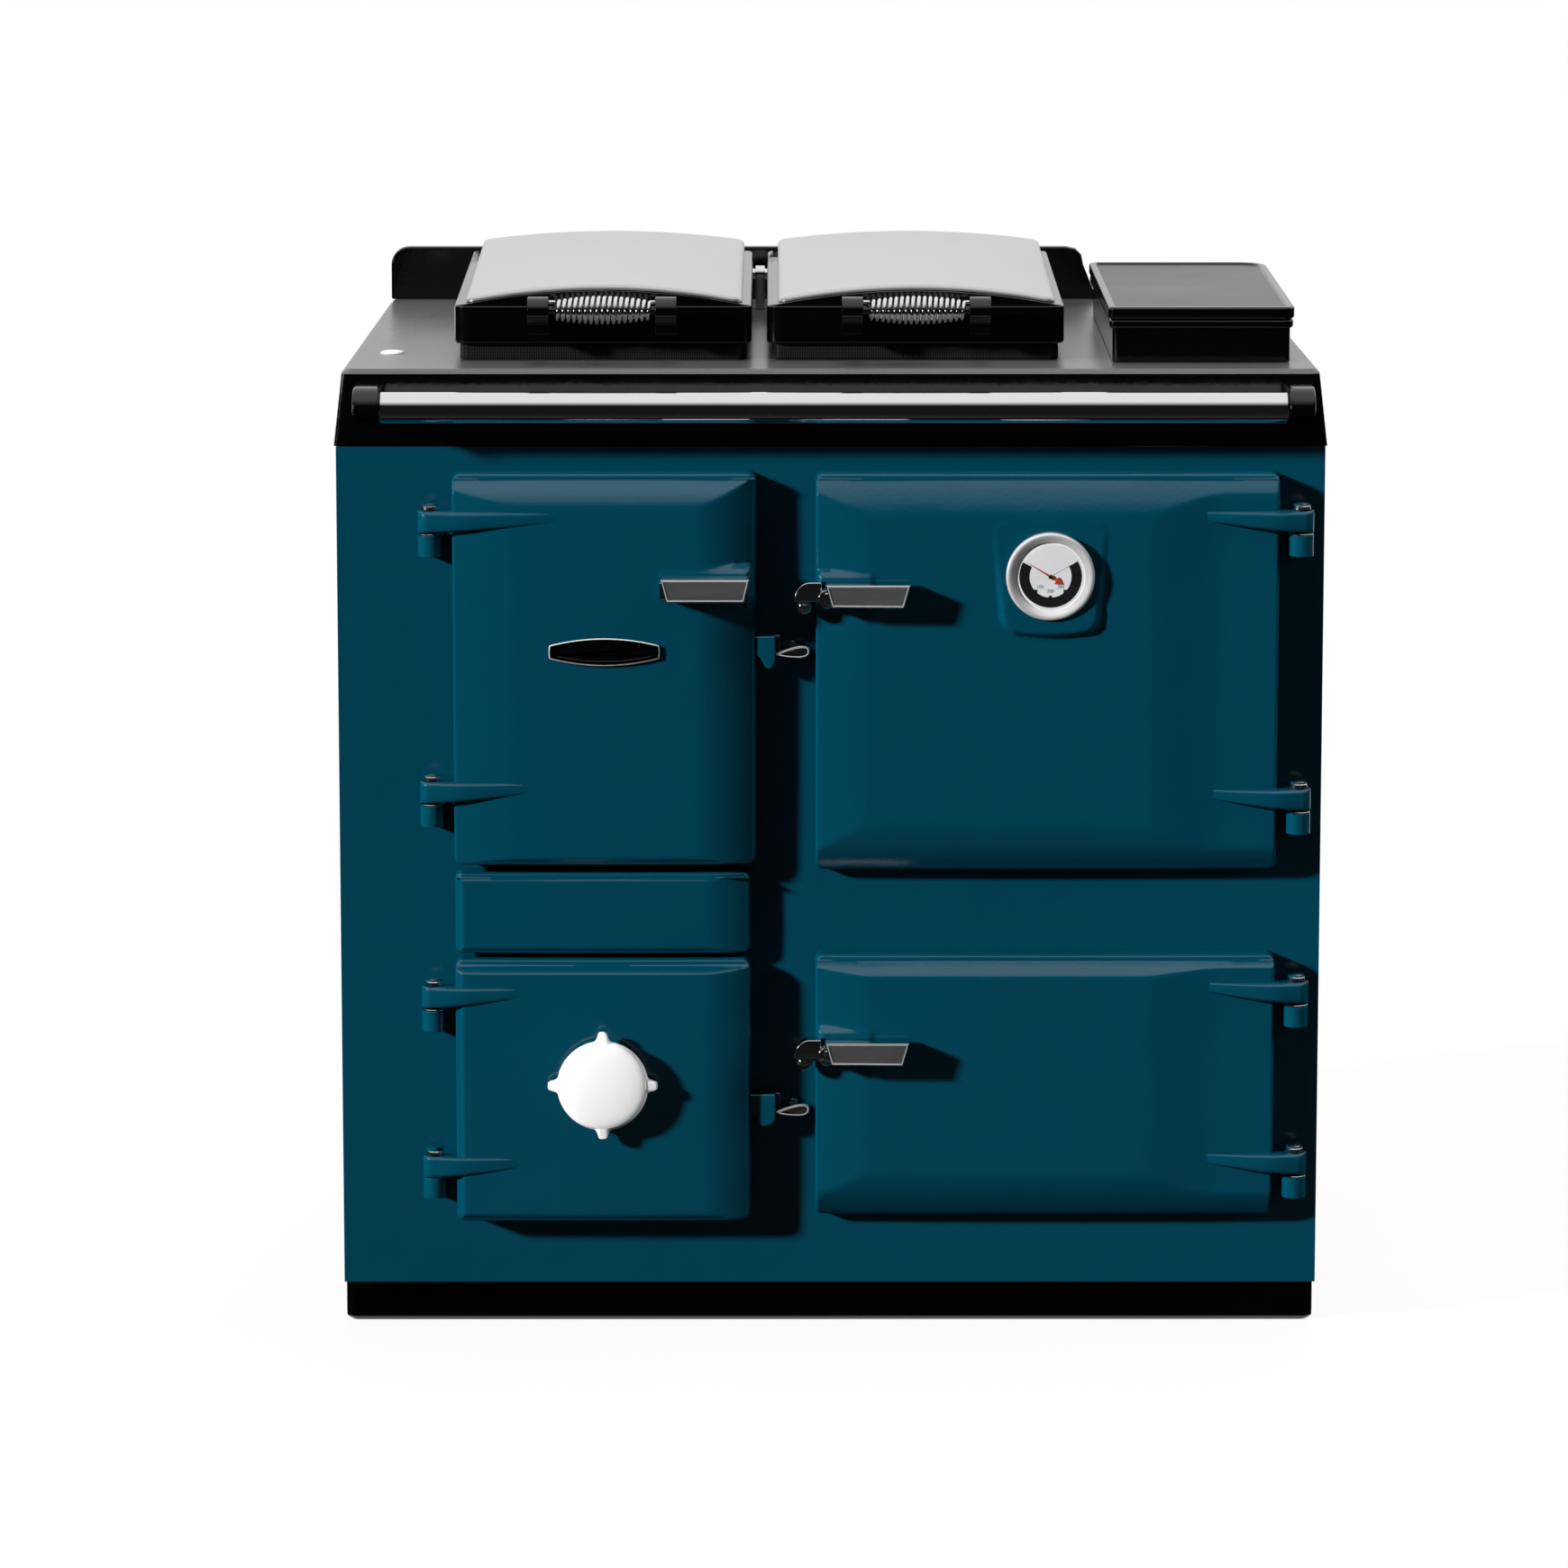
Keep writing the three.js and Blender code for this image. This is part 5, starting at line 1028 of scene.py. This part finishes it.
# ---- Hotplates and lids ----
# Two ground iron hotplates lie under insulated lids. A lid is a black casting
# with a glass rope seal beneath and a pressed, polished dome on top.
ground = Finish("ground_iron", Metallic=0.9)
swirl = ground.noise(70.0, 6.0, (1.0, 14.0, 14.0), 0.65)
ground.shades(swirl, (0.045, 0.044, 0.043), (0.13, 0.127, 0.122))
ground.set(Roughness=0.36 + swirl * 0.2)
ground.relief(swirl, 0.00012)
rope = Finish("glass_rope", Roughness=0.92, Specular_IOR_Level=0.1)
across = rope.add("SeparateXYZ", {}, {0: rope.place()})
around, above = across + across.beside("Y"), across.beside("Z")
twist = 1500.0
strand = ((around + above) * twist).sine() * ((around - above) * twist).sine() * 0.5 + 0.5
rope.shades(strand, (0.001, 0.001, 0.001), (0.026, 0.025, 0.024))
rope.relief(strand, 0.0006)

satin = Finish("satin_stainless", Metallic=0.8)
rubbed = satin.noise(40.0, 4.0, (1.0, 12.0, 12.0), 0.6)
satin.shades(rubbed, (0.45, 0.45, 0.45), (0.55, 0.55, 0.55))
satin.set(Roughness=0.27 + rubbed * 0.08)


# The front and the length are those of the lid's place in the cooker, as the
# refits use it. The middle and all drawn points count from the front plate.
lid_half_x, lid_front, lid_length = 135.0, -226.0, 409.0
lid_y, lid_lift, seal_lift, seal_proud = 278.5, 7.4, 7.0, 1.6


def lid_tilt(x, y, lid_x):
    """How far a lid's upper edge stands above its front corners: arched, and higher behind."""
    u = (x - lid_x) / lid_half_x
    back = (y - lid_front) / lid_length
    return (14.0 - 4.5 * back) * (1 - u * u) + 8.0 * back


for side, lid_x in (("left", -207.5), ("right", 78.0)):

    def fitted_lid(x, y, z):
        """The casting stands higher over its rope seal, and its hinge lugs stay put."""
        if y > 186.0:
            return x, y, z
        return x, y, z + lid_lift if z < 905.0 else 941.0 + lid_tilt(x, y, lid_x)

    def fitted_seal(x, y, z):
        """The rope stands out a little at the front and the sides, and fills the lift."""
        x += math.copysign(seal_proud, x - lid_x)
        return x, y - seal_proud if y < 0 else y, z + seal_lift if z > 895.0 else z

    softened(f"{side}_hotplate", ground, "ground_iron", 1.0)
    softened(f"{side}_lid", black, "black_enamel", 3.0, 3, fitted_lid)
    softened(f"{side}_lid_seal", rope, "rope_seal", 2.4, 3, fitted_seal)
    softened(f"{side}_lid_handle", black, "black_enamel", 1.2)

    # A proud band round the casting's foot stands out under the arched edge.
    band_outline = []
    round_corner = 14.0
    for x, y in compass(72):
        corner_x, corner_y = math.copysign(121.8, x), math.copysign(198.3, y)
        outline_x, outline_y = corner_x + round_corner * x, corner_y + round_corner * y
        band_outline.append((lid_x + outline_x, lid_y + outline_y))
    band = bmesh.new()
    _, edges = slab(band, band_outline, "z", 907.0, 941.2)
    eased(band, level(edges, 2), 1.6)
    drawn_piece(f"{side}_lid_band", band, black, f"{side}_lid", "black_enamel", (), 50.0)

    # The dome bows along and across, and its lip turns down round the casting.
    half_x, half_y, corner = 126.5, 204.5, 10.5
    centre_x = lid_x + 1.0

    def bulge(column, row):
        x, y = into_corner(column, row, half_x, half_y, corner)
        u, v = x / half_x, y / half_y
        height = 945.8 + lid_tilt(centre_x + x, lid_y + y + plate_y, lid_x)
        height += 3.0 * (1 + v) + 6.0 * (1 - u * u) * (1 - v * v)
        height -= rim_fall(edge_distance(x, y, half_x, half_y, corner))
        return centre_x + x, lid_y + y, height

    def lip(x, y, _):
        return x, y, 941.3 + lid_tilt(x, y + plate_y, lid_x)

    columns, rows = stations(half_x, 12.0, 1.5, 4.0), stations(half_y, 12.0, 1.5, 5.0)
    dome = pillow(columns, rows, bulge, lip)
    node = f"{side}_lid_dome"
    drawn_piece(f"{side}_dome", dome, satin, f"{side}_lid", "chrome", (node,), 45.0, even=False)

    # The grip is one steel wire wound in a barrel, which stays cool to the hand.
    wire = bmesh.new()
    turns, steps, wire_radius = 17, 24, 1.9
    coil_y, coil_z, end_radius = 40.0, 940.0, 7.4
    reach = 97.0 / 2 - 0.4
    wound = reach - 4.4
    points = [Vector((lid_x - reach, coil_y, coil_z + end_radius))]
    for k in range(turns * steps + 1):
        part = 2 * k / (turns * steps) - 1
        radius = end_radius + 4.2 * (1 - part * part)
        turn = 2 * math.pi * k / steps
        y, z = coil_y + radius * math.sin(turn), coil_z + radius * math.cos(turn)
        points.append(Vector((lid_x + wound * part, y, z)))
    points.append(Vector((lid_x + reach, coil_y, coil_z + end_radius)))
    rings = []
    across = Vector((0, 0, 1))
    for k, point in enumerate(points):
        ahead = points[min(k + 1, len(points) - 1)] - points[max(k - 1, 0)]
        ahead.normalize()
        across = (across - ahead * across.dot(ahead)).normalized()
        other = ahead.cross(across)
        radii = [across * cosine + other * sine for cosine, sine in compass(8)]
        rings.append([point + out * wire_radius for out in radii])
    lofted(wire, rings)
    node, name = f"{side}_lid_coil", f"{side}_grip_coil"
    drawn_piece(name, wire, chrome, f"{side}_lid", "chrome", (node,), 60.0, even=False)

softened("lid_hinge_rod", chrome, "chrome", 1.0)


# ---- Flue box, cover and spigot ----
# The flue chamber stands on the right of the top with a lift-off cover; a
# round cast spigot at the back takes the flue pipe.
iron = Finish("cast_iron", Metallic=0.35)
sand = iron.noise(420.0, 5.0, roughness=0.7)
patch = iron.noise(14.0, 3.0)
iron.shades(patch * 0.6 + sand * 0.4, (0.012, 0.012, 0.012), (0.055, 0.050, 0.046))
iron.set(Roughness=0.62 + sand * 0.2)
iron.relief(sand * 0.6 + patch * 0.4, 0.0008)


def raised_top(x, y, z):
    """The box's upper end stands 9 mm higher, under the cover."""
    return x, y, z + 9.0 if z > 900.0 else z


softened("flue_box", black, "black_enamel", 2.0, 3, raised_top)
panel_enamel = Finish("panel_enamel")
smear = panel_enamel.noise(9.0, 4.0)
panel_enamel.shades(smear, (0.0010, 0.0010, 0.0011), (0.0040, 0.0040, 0.0042))
panel_enamel.set(Roughness=0.26 + smear * 0.1)
cover_x, cover_y, cover_half_x, cover_half_y = 338.0, 248.0, 84.0, 201.0
cover = bmesh.new()
for grown, bottom, top in ((0.0, 922.4, 930.6), (1.0, 931.0, 942.2)):
    shape = []
    for sign_x, sign_y, radius in ((1, 1, 26.0), (-1, 1, 9.0), (-1, -1, 7.0), (1, -1, 12.0)):
        corner_x = cover_x + sign_x * (cover_half_x - radius)
        corner_y = cover_y + sign_y * (cover_half_y - radius)
        start = math.atan2(sign_y, sign_x) - math.pi / 4
        for k in range(9):
            turn = start + math.pi / 2 * k / 8
            reach = radius + grown
            shape.append((corner_x + reach * math.cos(turn), corner_y + reach * math.sin(turn)))
    _, edges = slab(cover, shape, "z", bottom, top)
    eased(cover, level(edges, 2), 2.4)
panel = max((f for f in cover.faces if f.normal.z > 0.95), key=lambda f: f.calc_center_median().z)
inset(cover, panel, 4.0, 0.0)
inset(cover, panel, 1.6, -1.8)
panel.material_index = 1
coats = [black, panel_enamel]
drawn_piece("flue_cover_lid", cover, coats, "flue_cover", "black_enamel", ("flue_cover",), 40.0)
softened("flue_spigot", iron, "cast_iron", 1.5)


# ---- Towel rail ----
# A chromed steel tube runs across the front of the skirt between two black
# cast brackets.
rail = bmesh.new()
profile = [(0.0, -406.0), (12.6, -406.0), (14.3, -404.4)]
profile += [(14.3, 409.4), (12.6, 411.0), (0.0, 411.0)]
turned(rail, profile, (0.0, -40.0, 861.0), (1, 0, 0), 64)
drawn_piece("towel_rail_tube", rail, chrome, "cooker", "chrome", ("towel_rail",), 35.0)


def cut_back(x, y, z):
    """A bracket's lower front edge is cut back by 13 mm."""
    return x, y, z + 13.0 if y < -335.0 and z < 850.0 else z


for side in ("left", "right"):
    softened(f"rail_bracket_{side}", black, "black_enamel", 2.4, 3, cut_back)


# ---- Plinth, base and back ----
# The body stands on a folded black plinth under a cast base plate. The back
# is closed by a galvanised sheet with the zinc's crystal pattern.
softened("plinth", black, "black_enamel", 1.2)
softened("base_plate", iron, "cast_iron", 1.5)
zinc = Finish("galvanised_steel", Metallic=0.75)
crystals = {"Vector": zinc.place((1.0, 1.0, 1.6)), "Scale": 95.0}
spangle = zinc.add("TexVoronoi", {}, crystals, "Color")
tone = zinc.add("SeparateColor", {}, {0: spangle})
zinc.shades(tone, (0.34, 0.345, 0.35), (0.56, 0.565, 0.57))
zinc.set(Roughness=0.32 + tone * 0.16 + zinc.noise(6.0, 3.0) * 0.1)
zinc.relief(zinc.noise(350.0, 3.0), 0.00012)
softened("back_panel", zinc, "sheet_steel", 1.0)
softened("ash_pan", zinc, "sheet_steel", 0.8)


# ---- Fire and ovens ----
# Behind the doors: a cast firebox lined with fire bricks over a shaking grate,
# and two enamelled oven boxes with wire shelves. Plates shield the doors.
brick = Finish("fire_brick", Roughness=0.93)
grit = brick.noise(260.0, 6.0, roughness=0.7)
stain = brick.noise(9.0, 4.0)
brick.shades(stain * 0.5 + grit * 0.5, (0.36, 0.24, 0.13), (0.68, 0.53, 0.36))
brick.relief(grit * 0.7 + stain * 0.3, 0.0014)
for finish, slot, radius, nodes in (
    (brick, "fire_brick", 2.0, ("firebrick_left", "firebrick_right", "firebrick_back")),
    (iron, "cast_iron", 1.2, ("firebox_shell", "grate", "firebox_door_liner")),
    (black, "black_enamel", 1.2, ("main_oven_box", "lower_oven_box")),
    (steel, "sheet_steel", 1.0, ("main_oven_shelf", "lower_oven_shelf")),
    (zinc, "sheet_steel", 1.5, ("main_oven_door_liner", "lower_oven_door_liner")),
):
    for node in nodes:
        softened(node, finish, slot, radius)
